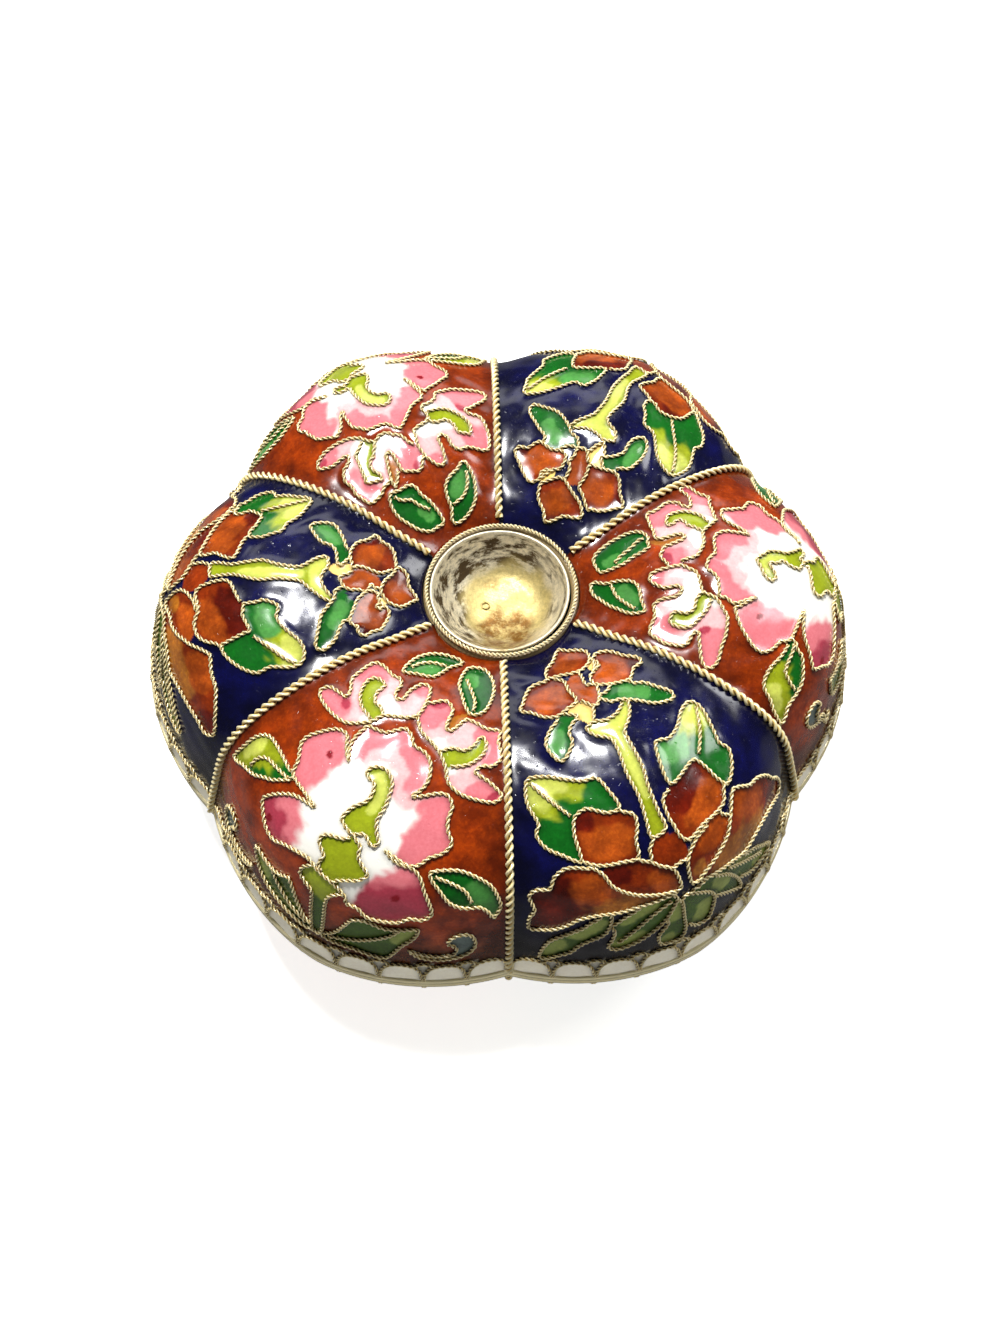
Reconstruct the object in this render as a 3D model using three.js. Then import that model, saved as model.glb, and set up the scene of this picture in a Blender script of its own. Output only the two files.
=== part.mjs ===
// A six-lobed lidded box in cloisonne enamel, in millimetres, +Z up.
// The origin is at the middle of the underside, and +X runs along the crown of a lobe.
// A melon-shaped lid with a gilt cup sunk in its crown lifts off a shallower bowl.
// Both halves are hollow copper shells under enamel, and each is edged with a gilt band.
import * as THREE from 'three'

// Driving dimensions
const lobe_count = 6
const half_width = 45          // centre to the crown of a lobe, at the gilt bands
const groove_share = 0.1       // part of the radius that is lost in a groove
const groove_share_at_band = 0.085
const groove_sharpness = 1.5   // 1 gives straight flanks, 2 gives round lobes
const lid_rise = 22.1          // top of the lid's band to the height of its crown
const bowl_depth = 14.8        // underside to the lower edge of the bowl's band
const lid_wall = 1.6
const bowl_wall = 1.6
const solder_gap = 0.05        // between pieces that are soldered or that rest on each other

// Gilt bands and the upright lip that keeps the lid in place
const lid_band_height = 1.2
const lid_band_width = 2.2
const bowl_band_height = 1.2
const lip_height = 2.8
const lip_thickness = 0.9
const lip_clearance = 0.4

// The underside
const recess_radius = 16
const recess_depth = 2

// The cup in the lid's crown, and the wires
const cup_lip_radius = 8.3
const cup_lip_height = 0.5
const cup_mouth_radius = 7.5
const cup_floor_radius = 6
const cup_depth = 4.2          // lip to floor
const cup_wall = 0.5
const cup_clearance = 0.3
const cup_seat_drop = 5.3      // crown of the lobes down to the cup's seat
const ring_wire_radius = 0.42
const groove_wire_radius = 0.55
const groove_wire_lift = 0.2   // between a groove and the wire over it
const wire_end_height = 1.4    // from the lid's band up to the end of a groove wire

// Fineness of the faceting
const steps_per_lobe = 12
const steps_per_span = 2
const fine_steps_per_span = 16   // for a groove wire to follow
const round_steps = 36
const wire_sides = 6
const wire_steps = 16

// Heights that follow from the sizes above
const bowl_top = bowl_depth
const joint_height = bowl_top + solder_gap + bowl_band_height
const lid_band_bottom = joint_height + solder_gap
const lid_bottom = lid_band_bottom + lid_band_height + solder_gap
const seat_height = lid_bottom + lid_rise - cup_seat_drop

// The ring wire lies against the cup's lip, and the seat reaches just past the ring wire.
const cup_outer_radius = cup_mouth_radius + cup_wall
const hole_radius = cup_outer_radius + cup_clearance
const ring_radius = Math.max(cup_lip_radius, hole_radius) + solder_gap + ring_wire_radius
const seat_radius = ring_radius + ring_wire_radius

// The lid's section over the crown of a lobe, from its band to the seat of the cup, as shares
// of the half width and of the lid's rise. The wall stands steep, rolls over and dips inward.
const lid_section = [
  [1.0, 0.0], [0.978, 0.181], [0.947, 0.42], [0.889, 0.73], [0.7, 0.957], [0.444, 0.975],
]

// The bowl's section, from its band down to the foot, as shares of half width and of depth.
const bowl_section = [
  [1.0, 1.0], [0.983, 0.87], [0.94, 0.64], [0.84, 0.33], [0.7, 0.09], [0.56, 0.0],
]

// How deep a groove is at an angle: 0 on the crown of a lobe, 1 in a groove.
function grooveDepth(angle) {
  const half_lobe = Math.PI / lobe_count
  const turned = (angle + half_lobe) / (2 * half_lobe)
  const from_crown = (turned - Math.floor(turned)) * 2 - 1
  return Math.abs(from_crown) ** groove_sharpness
}

function smoothStep(t) {
  const kept = Math.min(1, Math.max(0, t))
  return kept * kept * (3 - 2 * kept)
}

// The lobed outline at the gilt bands.
function bandRadius(depth) {
  return half_width * (1 - groove_share_at_band * depth)
}

// Points along a smooth section, each with the outward normal of the section there.
function sampleSection(points, steps) {
  const curve = new THREE.SplineCurve(points.map(([r, z]) => new THREE.Vector2(r, z)))
  return Array.from({ length: steps + 1 }, (_, i) => {
    const at = curve.getPoint(i / steps)
    const along = curve.getTangent(i / steps)
    return { r: at.x, z: at.y, t: i / steps, normal: new THREE.Vector2(along.y, -along.x) }
  })
}

// A closed ring of lobed section lines. Each section line is a function from the groove's depth
// at an angle to a list of [r, z]. A line that starts and ends on the axis closes in a pole.
function lobedSolid(sectionAt) {
  const turns = lobe_count * steps_per_lobe
  const lines = Array.from({ length: turns }, (_, i) => sectionAt(grooveDepth((i / turns) * 2 * Math.PI)))
  const rows = lines[0].length
  const has_pole = lines[0][0][0] === 0
  const first = has_pole ? 1 : 0
  const last = has_pole ? rows - 2 : rows - 1
  const positions = []
  for (let i = 0; i < turns; i++) {
    const angle = (i / turns) * 2 * Math.PI
    for (let j = first; j <= last; j++) {
      const [r, z] = lines[i][j]
      positions.push(r * Math.cos(angle), r * Math.sin(angle), z)
    }
  }
  const span = last - first + 1
  const vertex = (i, j) => (i % turns) * span + (j % span)
  const index = []
  const row_pairs = has_pole ? span - 1 : span
  for (let i = 0; i < turns; i++) {
    for (let j = 0; j < row_pairs; j++) {
      index.push(vertex(i, j), vertex(i + 1, j), vertex(i + 1, j + 1))
      index.push(vertex(i, j), vertex(i + 1, j + 1), vertex(i, j + 1))
    }
  }
  if (has_pole) {
    const start = positions.length / 3
    positions.push(0, 0, lines[0][0][1], 0, 0, lines[0][rows - 1][1])
    for (let i = 0; i < turns; i++) {
      index.push(start, vertex(i + 1, 0), vertex(i, 0))
      index.push(start + 1, vertex(i, span - 1), vertex(i + 1, span - 1))
    }
  }
  const geometry = new THREE.BufferGeometry()
  geometry.setAttribute('position', new THREE.Float32BufferAttribute(positions, 3))
  geometry.setIndex(index)
  geometry.computeVertexNormals()
  return geometry
}

const lid_points = [
  ...lid_section.map(([r, z]) => [r * half_width, z * lid_rise]),
  [seat_radius, lid_rise - cup_seat_drop],
]
const lid_span_count = lid_points.length - 1
const bowl_points = bowl_section.map(([r, z]) => [r * half_width, z * bowl_depth])

// The grooves deepen above the band, and run out at the cup so that its seat is round and level.
function lidCut(depth, t) {
  const above_band = smoothStep(t * lid_span_count / 2)
  const from_seat = smoothStep((1 - t) * lid_span_count)
  const share = groove_share_at_band + (groove_share - groove_share_at_band) * above_band
  return share * depth * from_seat
}

// A point of the lid's outside, offset along the section's normal by out.
function lidPoint(depth, { r, z, t, normal }, out = 0) {
  const kept = 1 - lidCut(depth, t)
  return [r * kept + normal.x * out, lid_bottom + z * kept + normal.y * out]
}

// The bowl's lobes keep their depth down to the foot, so the foot is lobed too.
function bowlPoint(depth, { r, z, normal }, out = 0) {
  return [r * (1 - groove_share_at_band * depth) - normal.x * out, z - normal.y * out]
}

function lidBody() {
  const outside = sampleSection(lid_points, lid_span_count * steps_per_span)
  const inside = outside.filter((_, i) => i % 2 === 0).slice(1, -1).reverse()
  return lobedSolid((depth) => [
    [bandRadius(depth) - lid_wall, lid_bottom],
    ...outside.map((place) => lidPoint(depth, place)),
    [hole_radius, seat_height],
    [hole_radius, seat_height - lid_wall],
    [seat_radius, seat_height - lid_wall],
    ...inside.map((place) => lidPoint(depth, place, -lid_wall)),
  ])
}

// The foot is a flat ring around a shallow recess, and the floor inside follows them.
function bowlBody() {
  const outside = sampleSection(bowl_points, (bowl_points.length - 1) * steps_per_span)
  const inside = outside.filter((_, i) => i % 2 === 0).slice(1)
  return lobedSolid((depth) => [
    [0, recess_depth],
    [recess_radius, recess_depth],
    [recess_radius, 0],
    ...outside.toReversed().map((place) => bowlPoint(depth, place)),
    [bandRadius(depth) - bowl_wall, bowl_top],
    ...inside.map((place) => bowlPoint(depth, place, -bowl_wall)),
    [recess_radius + bowl_wall, bowl_wall],
    [recess_radius + bowl_wall, recess_depth + bowl_wall],
    [0, recess_depth + bowl_wall],
  ])
}

function lidBand() {
  const top = lid_band_bottom + lid_band_height
  return lobedSolid((depth) => {
    const outer = bandRadius(depth)
    return [
      [outer - lid_band_width, lid_band_bottom],
      [outer, lid_band_bottom],
      [outer, top],
      [outer - lid_band_width, top],
    ]
  })
}

// The bowl's band carries the lip on its inner edge, clear of the lid's band and wall.
function bowlBand() {
  const bottom = bowl_top + solder_gap
  const reach = Math.max(lid_band_width, lid_wall) + lip_clearance
  return lobedSolid((depth) => {
    const outer = bandRadius(depth)
    const lip_outer = outer - reach
    const lip_inner = lip_outer - lip_thickness
    return [
      [lip_inner, bottom],
      [outer, bottom],
      [outer, joint_height],
      [lip_outer, joint_height],
      [lip_outer, joint_height + lip_height],
      [lip_inner, joint_height + lip_height],
    ]
  })
}

function cup() {
  const lip_bottom = seat_height + solder_gap
  const lip_top = lip_bottom + cup_lip_height
  const floor = lip_top - cup_depth
  const profile = [
    [0, floor - cup_wall],
    [cup_floor_radius, floor - cup_wall],
    [cup_outer_radius, lip_bottom],
    [cup_lip_radius, lip_bottom],
    [cup_lip_radius, lip_top],
    [cup_mouth_radius, lip_top],
    [(cup_mouth_radius + cup_floor_radius) / 2, lip_top - cup_depth * 0.68],
    [cup_floor_radius, floor],
    [0, floor],
  ].map(([r, z]) => new THREE.Vector2(r, z))
  const geometry = new THREE.LatheGeometry(profile, round_steps)
  geometry.rotateX(Math.PI / 2)
  return geometry
}

// A solid torus standing on the seat, with a flat facet down.
function ringWire() {
  const section = Array.from({ length: wire_sides + 1 }, (_, i) => {
    const turn = ((i + 0.5) / wire_sides) * 2 * Math.PI - Math.PI / 2
    const height = seat_height + solder_gap + ring_wire_radius
    return new THREE.Vector2(
      ring_radius + ring_wire_radius * Math.cos(turn), height + ring_wire_radius * Math.sin(turn))
  })
  const geometry = new THREE.LatheGeometry(section, round_steps)
  geometry.rotateX(Math.PI / 2)
  return geometry
}

// A wire laid along the groove at an angle, from the ring wire down to just above the band.
function grooveWire(angle) {
  const lift = groove_wire_radius + groove_wire_lift
  const nearest = seat_radius + groove_wire_radius + solder_gap
  const points = sampleSection(lid_points, lid_span_count * fine_steps_per_span)
    .map((place) => lidPoint(1, place, lift))
    .filter(([r, z]) => r > nearest && z > lid_bottom + wire_end_height)
    .map(([r, z]) => new THREE.Vector3(r * Math.cos(angle), r * Math.sin(angle), z))
  const circle = new THREE.Shape(Array.from({ length: wire_sides }, (_, i) => {
    const turn = (i / wire_sides) * 2 * Math.PI
    return new THREE.Vector2(groove_wire_radius * Math.cos(turn), groove_wire_radius * Math.sin(turn))
  }))
  return new THREE.ExtrudeGeometry(circle, {
    steps: wire_steps,
    extrudePath: new THREE.CatmullRomCurve3(points),
  })
}

const rust_enamel = new THREE.MeshStandardMaterial({ color: 0x8a3316, roughness: 0.2, metalness: 0.0 })
const blue_enamel = new THREE.MeshStandardMaterial({ color: 0x14184a, roughness: 0.2, metalness: 0.0 })
const gilt = new THREE.MeshStandardMaterial({ color: 0xd9b45a, roughness: 0.3, metalness: 1.0 })
const worn_gilt = new THREE.MeshStandardMaterial({ color: 0xb89a58, roughness: 0.45, metalness: 1.0 })

const box = new THREE.Group()

function addPiece(name, geometry, material) {
  const mesh = new THREE.Mesh(geometry, material)
  mesh.name = name
  box.add(mesh)
}

addPiece('bowl', bowlBody(), blue_enamel)
addPiece('bowl_band', bowlBand(), gilt)
addPiece('lid', lidBody(), rust_enamel)
addPiece('lid_band', lidBand(), gilt)
addPiece('crown_cup', cup(), worn_gilt)
addPiece('cup_ring_wire', ringWire(), gilt)
for (let i = 0; i < lobe_count; i++) {
  const angle = ((i + 0.5) / lobe_count) * 2 * Math.PI
  addPiece(`groove_wire_${i + 1}`, grooveWire(angle), gilt)
}

export default box
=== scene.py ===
import math

import bpy
import numpy as np
from mathutils import Matrix, Vector
from mathutils.kdtree import KDTree


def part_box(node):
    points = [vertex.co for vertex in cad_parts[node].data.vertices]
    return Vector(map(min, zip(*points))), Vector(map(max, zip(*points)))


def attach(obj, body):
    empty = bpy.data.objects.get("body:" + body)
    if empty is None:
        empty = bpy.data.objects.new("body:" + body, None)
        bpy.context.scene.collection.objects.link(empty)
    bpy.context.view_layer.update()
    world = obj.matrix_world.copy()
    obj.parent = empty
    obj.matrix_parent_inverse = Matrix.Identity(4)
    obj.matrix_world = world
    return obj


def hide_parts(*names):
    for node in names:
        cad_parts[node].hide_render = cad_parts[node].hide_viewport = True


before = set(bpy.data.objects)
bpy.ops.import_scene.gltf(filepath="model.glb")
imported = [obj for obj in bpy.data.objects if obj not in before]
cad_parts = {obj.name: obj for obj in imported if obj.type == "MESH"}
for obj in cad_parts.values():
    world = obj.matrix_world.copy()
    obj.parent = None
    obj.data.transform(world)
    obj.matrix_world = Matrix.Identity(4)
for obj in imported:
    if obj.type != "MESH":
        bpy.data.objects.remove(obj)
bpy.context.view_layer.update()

bl_info = {
    "name": "Six-lobed enamel box",
    "version": (1, 0, 0),
    "blender": (4, 5, 0),
    "location": "3D View > Sidebar > Enamel Box",
    "description": "Models and finishes a lobed lidded box in cloisonne enamel",
    "category": "Object",
}

MM = 0.001


def box_mm(node):
    """Lowest and highest corner of a solid of the frame, in millimetres."""
    low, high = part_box(node)
    return np.array(low) / MM, np.array(high) / MM


# Sizes that the frame gives, in millimetres
LOBES = 6
LOBE_TURN = 2 * math.pi / LOBES
LID_LOW, LID_HIGH = box_mm("lid")
LID_BAND_LOW, LID_BAND_HIGH = box_mm("lid_band")
BOWL_BAND_LOW, BOWL_BAND_HIGH = box_mm("bowl_band")
CUP_LOW, CUP_HIGH = box_mm("crown_cup")
RING_LOW, RING_HIGH = box_mm("cup_ring_wire")
HALF_WIDTH = LID_HIGH[0]
LID_BOTTOM = LID_LOW[2]
JOINT_HEIGHT = LID_BAND_LOW[2]
SOLDER_GAP = LID_BOTTOM - LID_BAND_HIGH[2]
SEAT_RADIUS = RING_HIGH[0]
SEAT_HEIGHT = RING_LOW[2] - SOLDER_GAP - LID_BOTTOM
BOWL_DEPTH = box_mm("bowl")[1][2]

# The lobed form, as the solids have it
LID_RISE = 22.1
GROOVE_SHARE = 0.1
GROOVE_SHARE_AT_BAND = 0.085
GROOVE_SHARPNESS = 1.5
GROOVE_DEEPENS_OVER = 18.0
GROOVE_FADES_OVER = 9.0
WALL = 1.6
RECESS_RADIUS = 16.0
RECESS_DEPTH = 2.0
LIP_REACH = 2.6
LIP_THICKNESS = 0.9
LID_BAND_WIDTH = 2.2
LID_SECTION = [
    (1.0, 0.0), (0.978, 0.181), (0.947, 0.42), (0.889, 0.73), (0.7, 0.957), (0.444, 0.975),
]
BOWL_SECTION = [
    (0.56, 0.0), (0.7, 0.09), (0.84, 0.33), (0.94, 0.64), (0.983, 0.87), (1.0, 1.0),
]

# Rust lobes carry the rose, blue lobes the lotus: the piece, the angle of its crown, the flower
PANELS = [
    ("lid_panel_right", 0, "rose"),
    ("lid_panel_back_right", 60, "lotus"),
    ("lid_panel_back_left", 120, "rose"),
    ("lid_panel_left", 180, "lotus"),
    ("lid_panel_front_left", 240, "rose"),
    ("lid_panel_front_right", 300, "lotus"),
]
SLOT_OF_DESIGN = {"rose": "rust_enamel", "lotus": "blue_enamel"}


def srgb(code):
    """Linear colour of a six-digit colour code."""
    parts = [int(code[i:i + 2], 16) / 255 for i in (0, 2, 4)]
    return tuple(p / 12.92 if p <= 0.04045 else ((p + 0.055) / 1.055) ** 2.4 for p in parts)


def length_prop(name, description, millimetres):
    return bpy.props.FloatProperty(
        name=name, description=description, default=millimetres * MM, min=0.0, soft_max=0.05,
        precision=6, unit="LENGTH")


def colour_prop(name, description, code):
    return bpy.props.FloatVectorProperty(
        name=name, description=description, default=srgb(code), min=0.0, max=1.0, size=3,
        subtype="COLOR")


class EnamelBoxSizes(bpy.types.PropertyGroup):
    """Sizes of the wires and of the enamel"""
    cell_wire: length_prop("Cell wire", "Largest radius of a twisted cell wire", 0.26)
    cell_twist: length_prop("Cell wire twist", "Length of one full turn of a cell wire", 1.4)
    rope_wire: length_prop("Rope wire", "Largest radius of a rope in a groove", 0.5)
    rope_twist: length_prop("Rope twist", "Length of one full turn of a rope", 2.0)
    enamel_sink: length_prop("Enamel sink", "Depth of the enamel below the tops of the wires", 0.42)
    meniscus: length_prop("Meniscus", "Height that the enamel climbs at a wire", 0.12)
    fillet: length_prop("Fillet", "Height that the enamel climbs at a rope", 0.4)
    fillet_reach: length_prop("Fillet reach", "How far from a rope the enamel climbs", 0.7)
    wave: length_prop("Wave", "Height of the long waves in the enamel", 0.07)
    scale_height: length_prop("Scale height", "Height of the scales above the band", 3.7)
    scales_per_lobe: bpy.props.IntProperty(
        name="Scales per lobe", description="Scales in the border of one lobe", default=9, min=3)


class EnamelBoxColours(bpy.types.PropertyGroup):
    """Colours of the fired enamels and of the metal"""
    rust: colour_prop("Rust", "Ground of the rose lobes", "8a3004")
    navy: colour_prop("Navy", "Ground of the lotus lobes", "040538")
    white: colour_prop("White", "Petals", "fffdf4")
    pink: colour_prop("Pink", "Petal tips", "e07a82")
    pale_pink: colour_prop("Pale pink", "Where pink runs into white", "f2b8b8")
    deep_pink: colour_prop("Deep pink", "Lower petals", "b03c4e")
    wine: colour_prop("Wine", "Spots in the petals", "860f1e")
    leaf: colour_prop("Leaf", "Leaves", "0c5f17")
    deep_leaf: colour_prop("Deep leaf", "Leaves at the border", "44601a")
    olive: colour_prop("Olive", "Edges of the leaves at the border", "889646")
    pale_leaf: colour_prop("Pale leaf", "Leaf edges", "4a8f42")
    lime: colour_prop("Lime", "Stamens, calyx and stalks", "98a51c")
    # Pale lime is the leaf tips' own colour, and is also painted as a pale reflection down the middle
    # of lime cells
    pale_lime: colour_prop("Pale lime", "Leaf tips", "c8d05c")
    orange: colour_prop("Orange", "Petals of the lotus", "7e2a06")
    bright_orange: colour_prop("Bright orange", "Thin enamel in the petals", "9c4410")
    amber: colour_prop("Amber", "Lower petals of the lotus", "a2601a")
    maroon: colour_prop("Maroon", "Thick enamel in the petals", "5c1204")
    slate: colour_prop("Slate", "Curls", "5b6a68")
    # Painted reflection: a dull grey-olive mixed into the grounds just above the border, for the dark
    # reflection there
    border_reflection: colour_prop("Reflection", "Dull enamel just above the border", "33301f")
    cream: colour_prop("Cream", "Scales of the border", "ece6d4")
    lining: colour_prop("Lining", "Inside and underside", "2a6f7d")
    gilt: colour_prop("Gilt", "Wires and bands", "ffdc80")
    # Painted highlight on the tops of the strands, and painted shade between them
    gilt_highlight: colour_prop("Gilt light", "Rubbed tops of the strands of a wire", "fff2c2")
    gilt_shade: colour_prop("Gilt shade", "Between the strands of a wire", "5c3d0e")
    worn_silver: colour_prop("Worn silver", "Rubbed wall of the cup", "f2e8cc")
    cup_gold: colour_prop("Cup gold", "Floor of the cup", "ceba78")
    old_gold: colour_prop("Old gold", "Darker patches of the floor of the cup", "7c5412")
    tarnish: colour_prop("Tarnish", "Dark patches in the cup", "4c3a20")
    table: colour_prop("Table", "The floor", "f4f4f2")


class EnamelBoxStudio(bpy.types.PropertyGroup):
    """Light and camera"""
    sky: bpy.props.FloatProperty(
        name="Sky", description="Strength of the light from all round", default=0.07, min=0.0)
    overhead: bpy.props.FloatProperty(
        name="Overhead", description="Power of the small lamp above, in watts", default=8.6, min=0.0)
    side: bpy.props.FloatProperty(
        name="Side", description="Power of the lamp at the right, in watts", default=1.9, min=0.0)
    back: bpy.props.FloatProperty(
        name="Back", description="Power of the wide lamp behind, in watts", default=1.3, min=0.0)
    camera_distance: length_prop("Camera distance", "From the camera to its target", 165.0)


# Small tools for lines and surfaces

def smooth_step(t):
    kept = np.clip(t, 0.0, 1.0)
    return kept * kept * (3 - 2 * kept)


def spline(points, closed=False, per_span=12):
    """Points along a Catmull-Rom curve through the given points."""
    points = np.asarray(points, float)
    if closed:
        before, after = np.roll(points, 1, 0), np.roll(points, -1, 0)
        beyond = np.roll(points, -2, 0)
        starts = points
    else:
        before = np.vstack([2 * points[:1] - points[1:2], points[:-2]])
        starts, after = points[:-1], points[1:]
        beyond = np.vstack([points[2:], 2 * points[-1:] - points[-2:-1]])
    t = (np.arange(per_span) / per_span)[None, :, None]
    p0, p1, p2, p3 = (p[:, None, :] for p in (before, starts, after, beyond))
    curve = p1 + t * (p2 - p0) / 2 + t**2 * (p0 - 2.5 * p1 + 2 * p2 - p3 / 2) \
        + t**3 * (1.5 * (p1 - p2) + (p3 - p0) / 2)
    curve = curve.reshape(-1, points.shape[1])
    return curve if closed else np.vstack([curve, points[-1:]])


def even(line, step, closed=False):
    """The same line with points at equal distances of about one step."""
    if closed:
        line = np.vstack([line, line[:1]])
    along = np.concatenate([[0], np.cumsum(np.linalg.norm(np.diff(line, axis=0), axis=1))])
    count = max(4, int(round(along[-1] / step)))
    at = np.linspace(0, along[-1], count + 1)
    spaced = np.stack([np.interp(at, along, line[:, k]) for k in range(line.shape[1])], 1)
    return spaced[:-1] if closed else spaced


def gentle_section(points, fine=1500):
    """A natural cubic spline through section points, with the distance along it."""
    points = np.asarray(points, float)
    knots = np.concatenate([[0], np.cumsum(np.hypot(*np.diff(points, axis=0).T))])
    gaps = np.diff(knots)
    size = len(knots)
    system = np.eye(size)
    pull = np.zeros((size, 2))
    slopes = np.diff(points, axis=0) / gaps[:, None]
    for i in range(1, size - 1):
        system[i, i - 1:i + 2] = gaps[i - 1], 2 * (gaps[i - 1] + gaps[i]), gaps[i]
        pull[i] = 6 * (slopes[i] - slopes[i - 1])
    bends = np.linalg.solve(system, pull)
    at = np.linspace(0, knots[-1], fine)
    k = np.clip(np.searchsorted(knots, at) - 1, 0, size - 2)
    past, left, gap = (at - knots[k])[:, None], (knots[k + 1] - at)[:, None], gaps[k][:, None]
    curve = (bends[k] * left**3 + bends[k + 1] * past**3) / (6 * gap) \
        + (points[k] / gap - bends[k] * gap / 6) * left \
        + (points[k + 1] / gap - bends[k + 1] * gap / 6) * past
    along = np.concatenate([[0], np.cumsum(np.hypot(*np.diff(curve, axis=0).T))])
    return curve, along


LID_CURVE, LID_ALONG = gentle_section(
    [(r * HALF_WIDTH, z * LID_RISE) for r, z in LID_SECTION] + [(SEAT_RADIUS, SEAT_HEIGHT)])
LID_LENGTH = LID_ALONG[-1]
BOWL_CURVE, BOWL_ALONG = gentle_section([(r * HALF_WIDTH, z * BOWL_DEPTH) for r, z in BOWL_SECTION])
BOWL_LENGTH = BOWL_ALONG[-1]


def groove_depth(theta):
    """0 on the crown of a lobe and 1 in a groove."""
    turned = np.asarray(theta) / LOBE_TURN + 0.5
    return np.abs((turned - np.floor(turned)) * 2 - 1) ** GROOVE_SHARPNESS


def band_radius(theta):
    return HALF_WIDTH * (1 - GROOVE_SHARE_AT_BAND * groove_depth(theta))


def lid_surface(theta, up):
    """Nominal outside of the lid at an angle, a distance up from the band."""
    r = np.interp(up, LID_ALONG, LID_CURVE[:, 0])
    z = np.interp(up, LID_ALONG, LID_CURVE[:, 1])
    deeper = smooth_step(up / GROOVE_DEEPENS_OVER)
    share = GROOVE_SHARE_AT_BAND + (GROOVE_SHARE - GROOVE_SHARE_AT_BAND) * deeper
    kept = 1 - share * groove_depth(theta) * smooth_step((LID_LENGTH - up) / GROOVE_FADES_OVER)
    return np.stack([r * kept * np.cos(theta), r * kept * np.sin(theta), LID_BOTTOM + z * kept], -1)


def bowl_surface(theta, up):
    """Nominal outside of the bowl at an angle, a distance up from the foot."""
    r = np.interp(up, BOWL_ALONG, BOWL_CURVE[:, 0])
    z = np.interp(up, BOWL_ALONG, BOWL_CURVE[:, 1])
    kept = 1 - GROOVE_SHARE_AT_BAND * groove_depth(theta)
    return np.stack([r * kept * np.cos(theta), r * kept * np.sin(theta), z + 0 * kept], -1)


def normals_of(surface, theta, up):
    """Outward normals of a surface, from small steps along it."""
    step = 0.05
    turn = step / 20
    across = surface(theta + turn, up) - surface(theta - turn, up)
    along = surface(theta, up + step) - surface(theta, up - step)
    normal = np.cross(across, along)
    return normal / np.linalg.norm(normal, axis=-1, keepdims=True)


def section_normals(line, angle):
    """Outward normals of a line in the upright plane at an angle."""
    along = np.gradient(line, axis=0)
    normal = np.cross((-math.sin(angle), math.cos(angle), 0), along)
    return normal / np.linalg.norm(normal, axis=1, keepdims=True)


def half_panel(up):
    """Half the width of a lobe of the lid, measured along the surface."""
    r = np.interp(up, LID_ALONG, LID_CURVE[:, 0])
    return r * (1 - GROOVE_SHARE / 2) * LOBE_TURN / 2


def inside(outline, x, y):
    """Which of the points lie inside a closed outline."""
    found = np.zeros(x.shape, bool)
    low, high = outline.min(0), outline.max(0)
    near = (x >= low[0]) & (x <= high[0]) & (y >= low[1]) & (y <= high[1])
    px, py = x[near][:, None], y[near][:, None]
    x0, y0 = outline.T
    x1, y1 = np.roll(outline, -1, 0).T
    spans = (y0 > py) != (y1 > py)
    rise = np.where(y1 == y0, 1e-9, y1 - y0)
    crossings = spans & (px < x0 + (py - y0) * (x1 - x0) / rise)
    found[near] = crossings.sum(1) % 2 == 1
    return found


# The flowers, drawn flat in millimetres: across a lobe, and up from the band

def cell(colour, outline, tints=(), veins=()):
    return {"colour": colour, "outline": outline, "tints": tints, "veins": veins}


def tint(colour, reach, *spine):
    """A second colour that runs into a cell, within reach of a line or a point."""
    return {"colour": colour, "reach": reach, "spine": np.array(spine, float)}


def mirrored(points):
    return [(-x, y) for x, y in points][::-1]


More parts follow.
